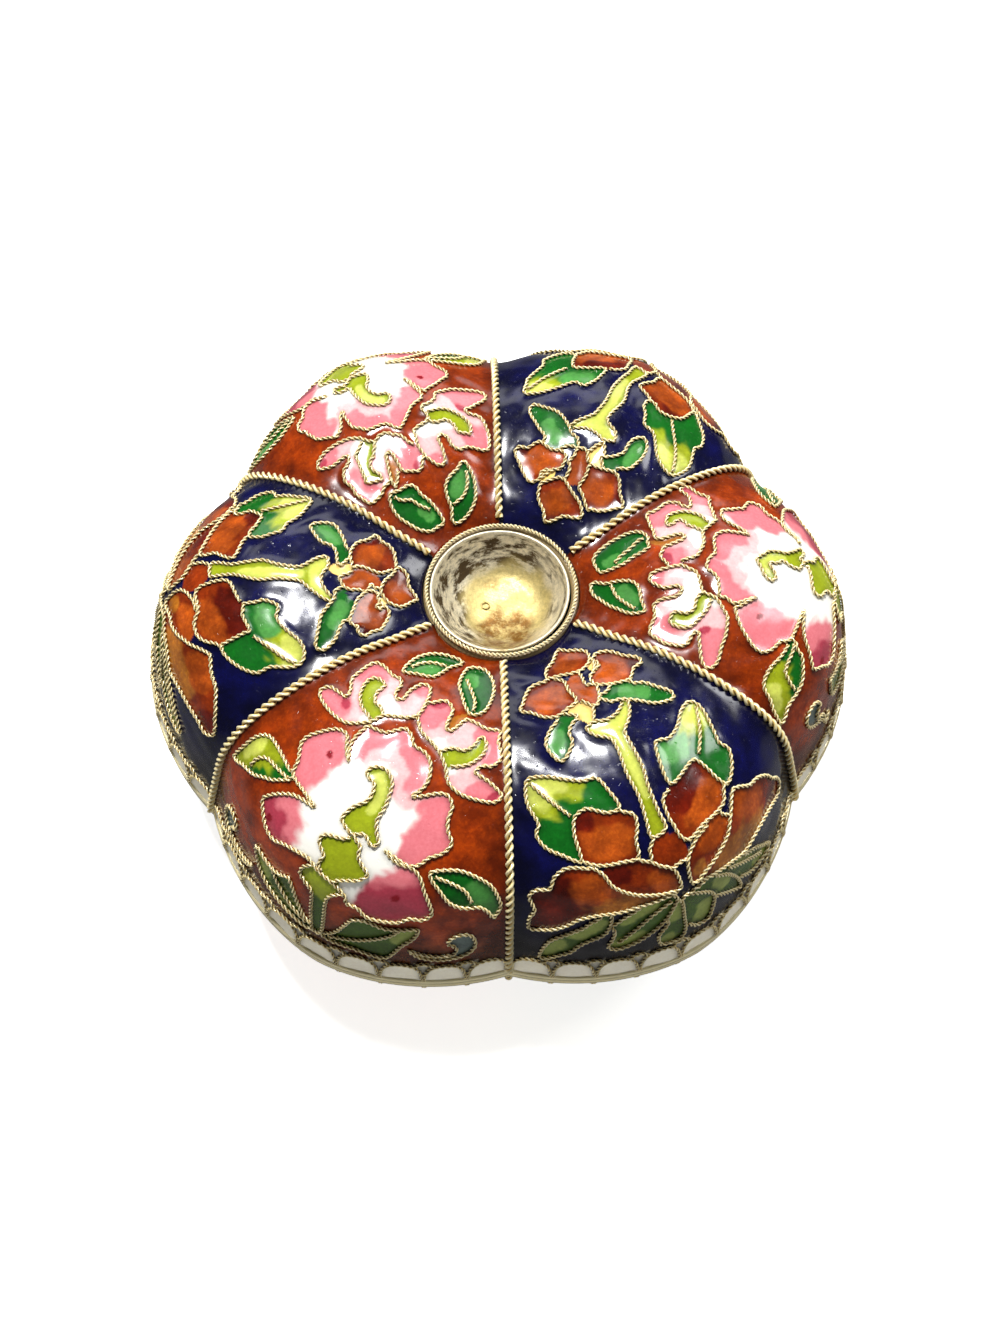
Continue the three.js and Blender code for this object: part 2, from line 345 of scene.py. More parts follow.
ROSE_CURL = [
    (10.3, 7.1), (11.7, 6.4), (13.3, 6.0), (15.0, 6.1), (15.5, 6.9), (15.2, 7.9), (14.4, 8.6),
    (14.7, 9.7), (15.8, 10.3), (16.9, 9.7), (17.5, 8.0), (17.2, 6.6), (16.0, 5.6), (13.9, 5.2),
    (11.7, 5.7),
]
ROSE = [
    cell("leaf", [
        (-3.8, 41.8), (-3.7, 44.2), (-2.7, 46.6), (-1.2, 48.2), (0.5, 48.7), (0.9, 48.0), (0.2, 46.7),
        (-0.1, 45.2), (-0.6, 43.9), (-2.2, 42.9)],
        [tint("pale_leaf", 0.8, (-2.6, 43.6), (-1.2, 45.4))],
        [[(-0.2, 46.6), (-1.5, 46.0), (-2.6, 44.7), (-3.3, 43.1)]]),
    cell("leaf", [
        (1.8, 47.4), (2.4, 48.2), (3.6, 48.1), (4.9, 46.6), (6.0, 44.6), (6.7, 42.4), (6.8, 40.3),
        (5.7, 39.7), (4.4, 41.0), (3.3, 42.7), (2.2, 44.6)],
        [tint("pale_leaf", 0.7, (2.8, 46.4), (3.4, 44.8))],
        [[(2.6, 45.6), (3.9, 43.7), (5.1, 41.8), (5.6, 40.3)]]),
    cell("white", [
        (-1.4, 41.0), (-0.9, 42.1), (-0.1, 42.3), (0.4, 41.4), (0.7, 39.9), (0.8, 38.2), (0.2, 37.3),
        (-1.2, 36.5), (-2.4, 35.7), (-3.1, 34.4), (-4.5, 33.0), (-6.0, 32.0), (-8.4, 31.4),
        (-10.9, 31.2), (-11.2, 31.8), (-10.3, 32.8), (-9.0, 33.4), (-7.6, 34.0), (-7.7, 34.9),
        (-8.5, 35.6), (-8.3, 36.9), (-7.9, 38.4), (-7.3, 39.4), (-6.0, 40.1), (-4.4, 40.3),
        (-3.4, 40.7), (-2.8, 40.1), (-2.8, 39.0), (-2.2, 38.4), (-1.6, 39.0), (-1.6, 40.0)],
        [tint("pale_pink", 2.6, (-7.6, 37.6), (-4.6, 40.0)),
         tint("pink", 1.7, (-7.8, 36.4), (-6.2, 39.3)),
         tint("pale_pink", 3.2, (-10.0, 31.6), (-7.2, 33.2)),
         tint("pink", 2.2, (-10.6, 31.6), (-8.4, 32.6)),
         tint("pale_pink", 2.2, (-0.3, 41.4), (-0.4, 39.6)), tint("pink", 1.3, (-0.5, 41.8)),
         tint("deep_pink", 0.7, (-7.3, 33.6))]),
    cell("lime", [
        (-4.4, 38.7), (-5.8, 38.4), (-6.6, 37.1), (-6.2, 35.5), (-4.9, 34.7), (-3.1, 34.8),
        (-2.4, 35.6), (-3.1, 36.3), (-4.1, 36.3), (-4.6, 37.2)]),
    cell("white", [
        (1.1, 37.6), (1.0, 39.0), (1.4, 40.4), (2.2, 41.1), (2.9, 40.8), (3.6, 39.9), (3.8, 38.5),
        (4.1, 37.4), (4.7, 37.1), (5.1, 37.9), (5.5, 38.9), (6.7, 38.5), (8.3, 37.6), (10.0, 37.1),
        (10.5, 35.7), (11.4, 34.3), (11.9, 33.2), (11.2, 32.5), (10.2, 32.7), (9.7, 32.0), (11.6, 30.8),
        (13.2, 29.6), (14.2, 28.6), (13.6, 28.1), (11.9, 28.5), (9.4, 29.4), (7.5, 30.7), (6.4, 32.4),
        (5.0, 34.1), (3.6, 35.2), (1.9, 36.3)],
        [tint("pale_pink", 2.3, (2.1, 40.2), (2.6, 37.6)), tint("pink", 1.6, (2.1, 40.4), (2.1, 38.4)),
         tint("pale_pink", 2.6, (6.4, 38.2), (10.9, 33.8)),
         tint("pink", 1.5, (8.6, 37.4), (11.2, 34.2)),
         tint("pale_pink", 2.6, (13.6, 28.6), (9.6, 30.2)),
         tint("pink", 1.9, (13.6, 28.4), (11.6, 29.4)),
         tint("deep_pink", 0.8, (2.0, 40.5)), tint("deep_pink", 0.6, (13.2, 28.8))]),
    cell("amber", [(4.5, 39.6), (4.1, 38.6), (4.3, 37.6), (4.8, 37.7), (5.1, 38.8), (5.0, 39.6)]),
    cell("lime", [
        (8.2, 36.5), (9.2, 35.6), (9.5, 34.2), (8.6, 33.0), (6.9, 32.7), (5.5, 33.5), (5.2, 34.5),
        (6.1, 34.9), (7.2, 34.7), (8.0, 35.4)]),
    cell("white", [
        (-3.0, 29.3), (-3.7, 30.8), (-3.6, 32.4), (-2.8, 33.7), (-1.1, 34.3), (-0.2, 35.2), (0.5, 35.8),
        (1.4, 35.3), (2.2, 34.3), (3.6, 33.8), (4.7, 32.7), (5.4, 30.9), (5.3, 29.6), (4.7, 28.6),
        (5.8, 28.9), (7.2, 29.4), (8.3, 29.1), (9.2, 27.9), (9.4, 26.6), (10.0, 25.2), (11.0, 23.8),
        (10.6, 22.7), (9.4, 22.1), (8.8, 21.3), (7.8, 21.0), (6.3, 21.6), (4.8, 22.3), (6.4, 21.2),
        (8.3, 20.7), (9.5, 19.6), (10.3, 18.2), (11.4, 16.3), (11.9, 14.7), (11.1, 13.7), (9.7, 13.8),
        (8.6, 12.9), (6.9, 12.7), (5.3, 12.9), (4.2, 14.1), (3.0, 14.4), (2.6, 15.5), (1.2, 16.6),
        (-1.1, 17.4), (-2.2, 17.9), (-3.6, 17.7), (-5.6, 17.1), (-7.2, 16.3), (-8.6, 16.6),
        (-9.7, 17.7), (-10.4, 18.8), (-9.7, 19.9), (-8.6, 21.0), (-7.2, 22.1), (-5.8, 22.7),
        (-3.9, 23.1), (-6.0, 23.5), (-8.1, 23.8), (-8.4, 25.2), (-9.2, 26.6), (-8.9, 27.7),
        (-8.1, 28.8), (-6.9, 30.2), (-5.8, 31.1), (-4.7, 31.3), (-4.0, 30.3)],
        [tint("pale_pink", 2.3, (-2.6, 32.0), (0.6, 34.0), (4.0, 31.8), (4.4, 29.4)),
         tint("pink", 1.4, (-3.0, 31.0), (-2.4, 33.0), (0.2, 34.8)),
         tint("pink", 1.2, (2.4, 33.6), (4.5, 31.6), (4.7, 29.8)),
         tint("pink", 3.0, (-8.0, 25.2), (-6.6, 28.8)), tint("wine", 0.4, (-5.4, 28.3)),
         tint("pink", 2.8, (8.8, 27.2), (9.2, 24.4), (8.6, 23.2)), tint("wine", 0.3, (9.6, 26.2)),
         tint("pink", 3.6, (-9.2, 19.0), (-7.8, 19.4)),
         tint("deep_pink", 2.4, (-9.8, 18.0), (-8.2, 17.6)),
         tint("wine", 0.5, (-8.7, 17.9)),
         tint("pink", 3.0, (9.6, 19.0), (7.4, 17.4)), tint("deep_pink", 3.4, (9.8, 15.6), (6.6, 14.6)),
         tint("wine", 0.45, (7.8, 16.6))]),
    cell("lime", [
        (0.0, 30.5), (1.1, 30.6), (2.2, 29.6), (2.6, 28.2), (2.8, 26.6), (2.7, 25.2), (3.3, 23.8),
        (3.9, 22.8), (3.3, 22.4), (2.2, 23.3), (1.1, 22.9), (0.3, 23.2), (-0.6, 23.8), (-0.5, 24.6),
        (0.0, 25.7), (0.8, 26.6), (1.0, 27.7), (0.6, 28.8), (-0.3, 29.1), (-0.6, 29.7)],
        # Painted reflection: a pale line down the middle of the cell
        [tint("pale_lime", 0.6, (0.8, 29.8), (1.8, 28.2), (1.8, 26.0))]),
    cell("lime", [
        (-1.2, 21.6), (0.3, 22.0), (1.5, 22.4), (2.3, 22.0), (2.6, 20.8), (3.4, 19.9), (4.2, 19.1),
        (3.6, 18.2), (2.5, 17.7), (1.1, 17.2), (0.0, 17.6), (-1.0, 18.2), (-0.8, 19.3), (-1.7, 20.2),
        (-1.8, 21.0)]),
    cell("lime", [
        (-1.2, 17.4), (0.6, 17.3), (1.9, 16.8), (2.4, 15.7), (1.4, 14.9), (0.8, 13.6), (0.7, 10.0),
        (0.5, 6.3), (-0.6, 6.3), (-0.9, 10.0), (-1.0, 13.6), (-2.0, 14.6), (-2.8, 15.4), (-2.4, 16.7)],
        [tint("deep_leaf", 2.6, (0.0, 7.0), (0.0, 10.5))]),
    cell("leaf", [
        (-18.1, 17.1), (-17.2, 19.1), (-16.1, 21.3), (-14.7, 22.9), (-13.1, 23.7), (-10.8, 23.9),
        (-8.9, 23.7), (-8.1, 23.2), (-9.2, 22.2), (-10.4, 21.2), (-11.7, 20.4), (-13.1, 19.4),
        (-14.4, 18.8), (-15.8, 18.2), (-17.0, 17.4)],
        [tint("lime", 2.2, (-17.0, 18.6), (-15.4, 21.6), (-12.6, 23.0)),
         tint("pale_lime", 0.9, (-16.6, 19.4), (-14.6, 22.0))],
        [[(-8.5, 23.0), (-10.3, 22.6), (-12.5, 22.0), (-13.9, 20.7), (-14.4, 19.4)]]),
    cell("leaf", [
        (10.3, 20.5), (12.2, 20.7), (13.9, 20.3), (16.1, 19.1), (17.8, 17.7), (19.2, 15.4),
        (19.4, 14.1), (18.9, 12.9), (18.1, 14.1), (16.9, 15.2), (15.3, 15.4), (13.6, 16.3),
        (11.9, 18.2), (10.6, 19.6)],
        [tint("pale_leaf", 1.6, (16.4, 18.0), (18.9, 14.2))],
        [[(10.9, 19.9), (12.8, 19.1), (14.7, 17.9), (15.9, 16.2)]]),
    cell("deep_leaf", [
        (-0.8, 6.3), (-1.9, 7.7), (-2.8, 9.6), (-3.6, 11.8), (-4.3, 12.9), (-5.3, 12.1), (-6.7, 11.6),
        (-8.3, 11.8), (-9.7, 12.1), (-9.4, 9.9), (-8.6, 8.2), (-6.9, 6.8), (-4.4, 6.0), (-1.7, 5.6)],
        [tint("olive", 1.0, (-8.8, 11.4), (-8.2, 9.2))],
        [[(-1.4, 6.6), (-3.9, 7.9), (-5.8, 9.9), (-6.7, 11.4)]]),
    cell("deep_leaf", [
        (0.8, 6.0), (2.2, 7.9), (3.1, 9.9), (3.9, 11.6), (5.3, 12.0), (7.2, 11.3), (8.9, 11.4),
        (10.8, 11.7), (10.6, 9.9), (9.4, 7.9), (8.6, 6.0), (7.8, 4.9), (6.1, 5.0), (4.2, 5.4),
        (1.7, 5.5)],
        [tint("olive", 1.0, (9.8, 11.0), (9.2, 9.0))],
        [[(1.4, 6.3), (5.0, 7.7), (7.8, 9.6), (8.9, 11.2)]]),
    cell("slate", ROSE_CURL),
    cell("slate", mirrored(ROSE_CURL)),
]

LOTUS = [
    cell("orange", [
        (-2.1, 45.3), (-1.4, 46.8), (-0.3, 47.6), (0.6, 48.5), (1.3, 48.9), (1.9, 47.9), (2.8, 46.8),
        (3.5, 45.4), (3.0, 44.2), (1.6, 43.9), (0.4, 44.3), (-0.8, 44.9)],
        [tint("bright_orange", 1.5, (0.6, 46.2), (1.4, 46.6))]),
    cell("orange", [
        (-3.1, 44.8), (-4.4, 44.3), (-5.6, 42.9), (-6.7, 41.3), (-7.5, 40.2), (-6.4, 39.9),
        (-5.6, 39.1), (-4.2, 38.9), (-2.8, 39.6), (-1.4, 40.3), (-1.3, 42.1), (-1.0, 43.9),
        (-2.0, 44.6)],
        [tint("bright_orange", 1.6, (-4.6, 41.4), (-2.8, 42.2)), tint("maroon", 0.9, (-6.6, 40.4))]),
    cell("orange", [
        (3.9, 44.1), (5.0, 43.5), (6.1, 42.1), (6.9, 40.4), (8.2, 38.5), (7.9, 37.9), (6.6, 38.5),
        (5.2, 38.2), (3.9, 38.9), (2.2, 40.2), (1.4, 41.2), (1.6, 42.3), (2.6, 42.7)],
        [tint("bright_orange", 1.7, (3.0, 41.4), (5.0, 40.4)), tint("maroon", 1.0, (7.4, 38.6))]),
    cell("bright_orange", [
        (-0.9, 39.9), (-1.0, 42.0), (-0.5, 43.6), (0.4, 44.0), (0.9, 43.3), (0.6, 41.8), (1.2, 40.3),
        (0.7, 39.2), (-0.2, 38.6)]),
    cell("leaf", [
        (-7.3, 33.4), (-7.4, 35.1), (-6.4, 36.6), (-5.0, 37.9), (-3.3, 38.7), (-2.4, 38.2),
        (-3.6, 37.3), (-4.4, 36.2), (-4.6, 35.2), (-5.6, 34.0), (-6.7, 33.1)],
        [tint("pale_leaf", 0.7, (-6.6, 34.6), (-5.4, 36.6))]),
    cell("leaf", [
        (1.1, 39.1), (2.8, 39.2), (4.4, 38.0), (6.1, 36.6), (7.2, 34.9), (8.3, 33.2), (8.1, 32.5),
        (6.7, 33.2), (5.3, 34.3), (3.9, 36.0), (2.5, 37.4), (1.4, 38.0)],
        [tint("pale_leaf", 0.7, (3.4, 38.0), (5.8, 35.8))]),
    cell("lime", [
        (-2.5, 36.3), (-1.4, 36.8), (-0.3, 36.4), (1.1, 36.4), (2.4, 36.8), (2.8, 36.0), (1.7, 34.9),
        (0.7, 34.2), (0.4, 32.7), (0.1, 29.9), (-0.5, 27.7), (-0.9, 24.9), (-1.1, 22.8), (-2.8, 22.5),
        (-2.5, 24.3), (-1.9, 27.1), (-1.7, 29.9), (-1.1, 32.7), (-1.1, 34.2), (-2.2, 35.2)],
        [tint("pale_lime", 1.3, (-1.6, 36.0), (1.6, 36.0)),
         # Painted reflection: a pale line down the middle of the stalk
         tint("pale_lime", 0.7, (-0.4, 34.0), (-0.9, 27.0))]),
    cell("leaf", [
        (-12.5, 29.6), (-11.4, 31.0), (-9.4, 31.3), (-7.8, 30.9), (-6.1, 30.4), (-4.7, 30.4),
        (-4.3, 28.8), (-4.2, 26.7), (-5.6, 26.4), (-7.2, 27.2), (-8.3, 26.9), (-9.2, 26.1),
        (-10.0, 24.3), (-10.4, 22.2), (-10.8, 21.3), (-12.2, 22.1), (-13.6, 22.9), (-14.0, 24.3),
        (-13.1, 25.7), (-13.2, 27.7)],
        [tint("lime", 2.4, (-12.4, 28.4), (-11.2, 30.4), (-8.6, 30.8)),
         tint("pale_lime", 1.5, (-12.2, 28.8), (-11.0, 30.4), (-9.4, 30.8))],
        [[(-11.6, 30.4), (-10.6, 28.6), (-9.3, 26.6)]]),
    cell("leaf", [
        (2.8, 31.0), (4.4, 30.3), (6.1, 30.4), (7.8, 31.0), (9.4, 30.7), (10.3, 29.6), (10.4, 28.2),
        (10.0, 26.6), (9.7, 25.2), (10.4, 23.8), (9.4, 22.4), (7.8, 21.8), (6.9, 23.2), (6.4, 24.9),
        (5.6, 26.6), (4.2, 26.7), (2.2, 26.4), (1.6, 26.9), (1.9, 28.8)],
        [tint("lime", 2.3, (9.6, 29.6), (8.0, 30.2)), tint("pale_lime", 1.4, (9.9, 29.6), (8.2, 30.4)),
         tint("pale_leaf", 1.2, (3.4, 29.2), (5.4, 28.6))],
        [[(9.9, 29.6), (8.3, 27.9), (6.5, 26.6)]]),
    cell("orange", [
        (-10.8, 22.7), (-10.6, 23.8), (-9.2, 24.9), (-8.9, 26.2), (-7.8, 27.0), (-6.9, 26.6),
        (-5.8, 26.0), (-4.2, 26.0), (-3.3, 25.4), (-3.6, 24.1), (-4.4, 22.7), (-5.0, 20.8),
        (-6.7, 20.7), (-8.9, 20.7), (-10.3, 21.3)],
        [tint("maroon", 1.3, (-8.6, 26.0)), tint("bright_orange", 1.9, (-8.2, 22.8), (-5.6, 23.2))]),
    cell("orange", [
        (0.0, 25.4), (1.4, 26.2), (2.8, 26.3), (4.2, 26.7), (5.6, 26.2), (6.1, 24.9), (6.9, 23.2),
        (6.9, 21.8), (6.1, 20.8), (4.4, 20.7), (2.8, 20.8), (0.8, 20.4), (0.1, 20.9), (-0.2, 22.1)],
        [tint("maroon", 2.2, (1.8, 25.2), (3.6, 25.0)),
         tint("bright_orange", 1.6, (3.0, 21.8), (5.6, 22.6))]),
    cell("orange", [
        (-18.9, 10.7), (-18.6, 12.7), (-17.8, 14.3), (-17.9, 16.5), (-16.7, 17.6), (-15.3, 17.9),
        (-14.2, 19.5), (-12.5, 20.6), (-10.6, 20.5), (-9.2, 19.8), (-8.6, 17.9), (-6.7, 16.3),
        (-4.4, 15.4), (-2.4, 14.9), (-4.4, 14.5), (-6.7, 14.3), (-8.9, 13.9), (-11.1, 13.8),
        (-13.1, 13.2), (-14.4, 12.1), (-16.1, 11.0), (-17.8, 10.6)],
        [tint("maroon", 4.0, (-18.0, 12.4), (-15.6, 16.6)),
         tint("amber", 2.2, (-9.6, 15.2), (-4.8, 15.0)),
         tint("bright_orange", 2.0, (-11.4, 17.2), (-9.6, 17.6))]),
    cell("orange", [
        (0.2, 14.9), (2.8, 16.3), (5.0, 17.5), (6.1, 18.8), (7.8, 20.7), (8.9, 20.4), (10.6, 19.1),
        (12.2, 18.5), (13.9, 17.1), (15.0, 15.4), (16.1, 14.1), (16.7, 12.3), (15.8, 11.3),
        (13.9, 12.1), (11.7, 12.7), (9.4, 12.7), (7.2, 12.3), (5.0, 13.2), (2.8, 13.9)],
        [tint("amber", 2.2, (4.6, 14.6), (9.6, 14.0)),
         tint("bright_orange", 1.6, (8.6, 18.4), (10.8, 16.8)),
         tint("maroon", 1.5, (14.6, 13.6))]),
    cell("orange", [
        (-8.9, 19.8), (-8.3, 18.2), (-6.9, 16.8), (-5.0, 15.7), (-2.2, 15.0), (-1.9, 16.6),
        (-2.2, 18.2), (-3.3, 19.1), (-4.2, 20.0), (-5.8, 20.4), (-7.8, 20.3)],
        [tint("maroon", 1.4, (-7.6, 19.0)), tint("bright_orange", 1.2, (-4.2, 17.4), (-2.8, 16.4))]),
    cell("orange", [
        (-0.6, 17.7), (0.3, 19.3), (1.7, 19.9), (3.3, 20.2), (5.0, 20.2), (6.1, 19.1), (5.8, 18.2),
        (4.4, 17.6), (2.8, 16.8), (1.1, 15.7), (-0.6, 15.0)],
        [tint("bright_orange", 1.3, (2.6, 18.6), (4.8, 19.2)), tint("amber", 1.0, (0.6, 16.4))]),
    cell("orange", [
        (-3.6, 19.9), (-3.6, 21.2), (-2.8, 22.0), (-1.7, 22.2), (-0.4, 21.6), (0.0, 20.2), (-0.6, 18.9),
        (-1.7, 18.5), (-2.8, 18.9)]),
    cell("gilt", [(-3.0, 38.4), (-2.6, 39.3), (-1.4, 39.8), (-0.7, 38.9), (-0.9, 37.7), (-1.9, 37.2)]),
    cell("gilt", [(2.4, 42.5), (2.2, 43.3), (2.7, 43.9), (3.5, 43.8), (3.7, 43.0), (3.2, 42.4)]),
    cell("deep_leaf", [
        (-18.4, 4.7), (-17.8, 6.6), (-16.7, 8.5), (-15.0, 9.9), (-13.1, 11.3), (-11.7, 12.7),
        (-9.9, 13.5), (-9.9, 12.1), (-10.7, 9.9), (-12.2, 8.8), (-13.6, 7.7), (-14.7, 6.3),
        (-16.1, 5.4), (-17.6, 4.6)],
        [tint("olive", 1.2, (-13.8, 9.6), (-11.2, 12.0)),
         tint("olive", 1.0, (-17.2, 6.0), (-15.8, 7.6))]),
    cell("deep_leaf", [
        (-9.7, 9.6), (-9.4, 11.6), (-7.8, 13.2), (-5.6, 14.0), (-3.6, 14.2), (-2.5, 13.8), (-3.1, 12.1),
        (-4.2, 9.9), (-5.8, 8.2), (-7.8, 6.8), (-9.7, 6.2), (-10.6, 7.0), (-10.1, 8.2)],
        [tint("olive", 1.0, (-8.2, 12.0), (-5.4, 13.4)), tint("olive", 0.9, (-9.2, 7.2), (-7.0, 8.2))],
        [[(-3.2, 13.6), (-5.2, 12.2), (-7.4, 9.8), (-9.4, 7.6)]]),
    cell("deep_leaf", [
        (-2.2, 13.7), (-3.0, 11.6), (-3.9, 8.9), (-4.9, 7.1), (-4.8, 5.1), (-3.6, 4.7), (-2.3, 5.0),
        (-1.8, 6.8), (-1.9, 9.3), (-2.0, 12.1)],
        [tint("olive", 0.9, (-2.8, 9.6), (-2.4, 12.4)), tint("olive", 0.9, (-3.8, 5.6))]),
    cell("deep_leaf", [
        (-1.6, 13.6), (0.0, 12.7), (1.6, 11.0), (2.1, 9.3), (1.7, 7.1), (1.0, 5.8), (-0.6, 6.1),
        (-1.4, 7.7), (-1.6, 9.9), (-1.7, 12.1)],
        [tint("olive", 1.0, (0.4, 7.2), (0.8, 9.0))]),
    cell("deep_leaf", [
        (-0.9, 13.9), (1.7, 13.7), (3.8, 12.1), (5.2, 9.9), (6.1, 7.7), (6.3, 6.1), (5.3, 6.7),
        (3.9, 7.9), (2.6, 9.3), (1.9, 11.3), (0.4, 12.9)],
        [tint("olive", 0.9, (2.8, 11.8), (4.2, 10.0))]),
    cell("deep_leaf", [
        (2.7, 13.8), (5.3, 12.7), (7.2, 11.6), (9.4, 9.9), (11.1, 7.9), (12.6, 6.1), (11.7, 5.4),
        (9.4, 5.8), (7.8, 6.7), (6.5, 8.2), (5.4, 10.4), (4.0, 12.4)],
        [tint("olive", 1.0, (6.4, 11.4), (8.4, 9.8)), tint("olive", 1.0, (11.4, 6.4), (9.6, 7.0))],
        [[(4.4, 12.6), (7.0, 10.4), (10.6, 7.2)]]),
]
DESIGNS = {"rose": (ROSE, "rust"), "lotus": (LOTUS, "navy")}

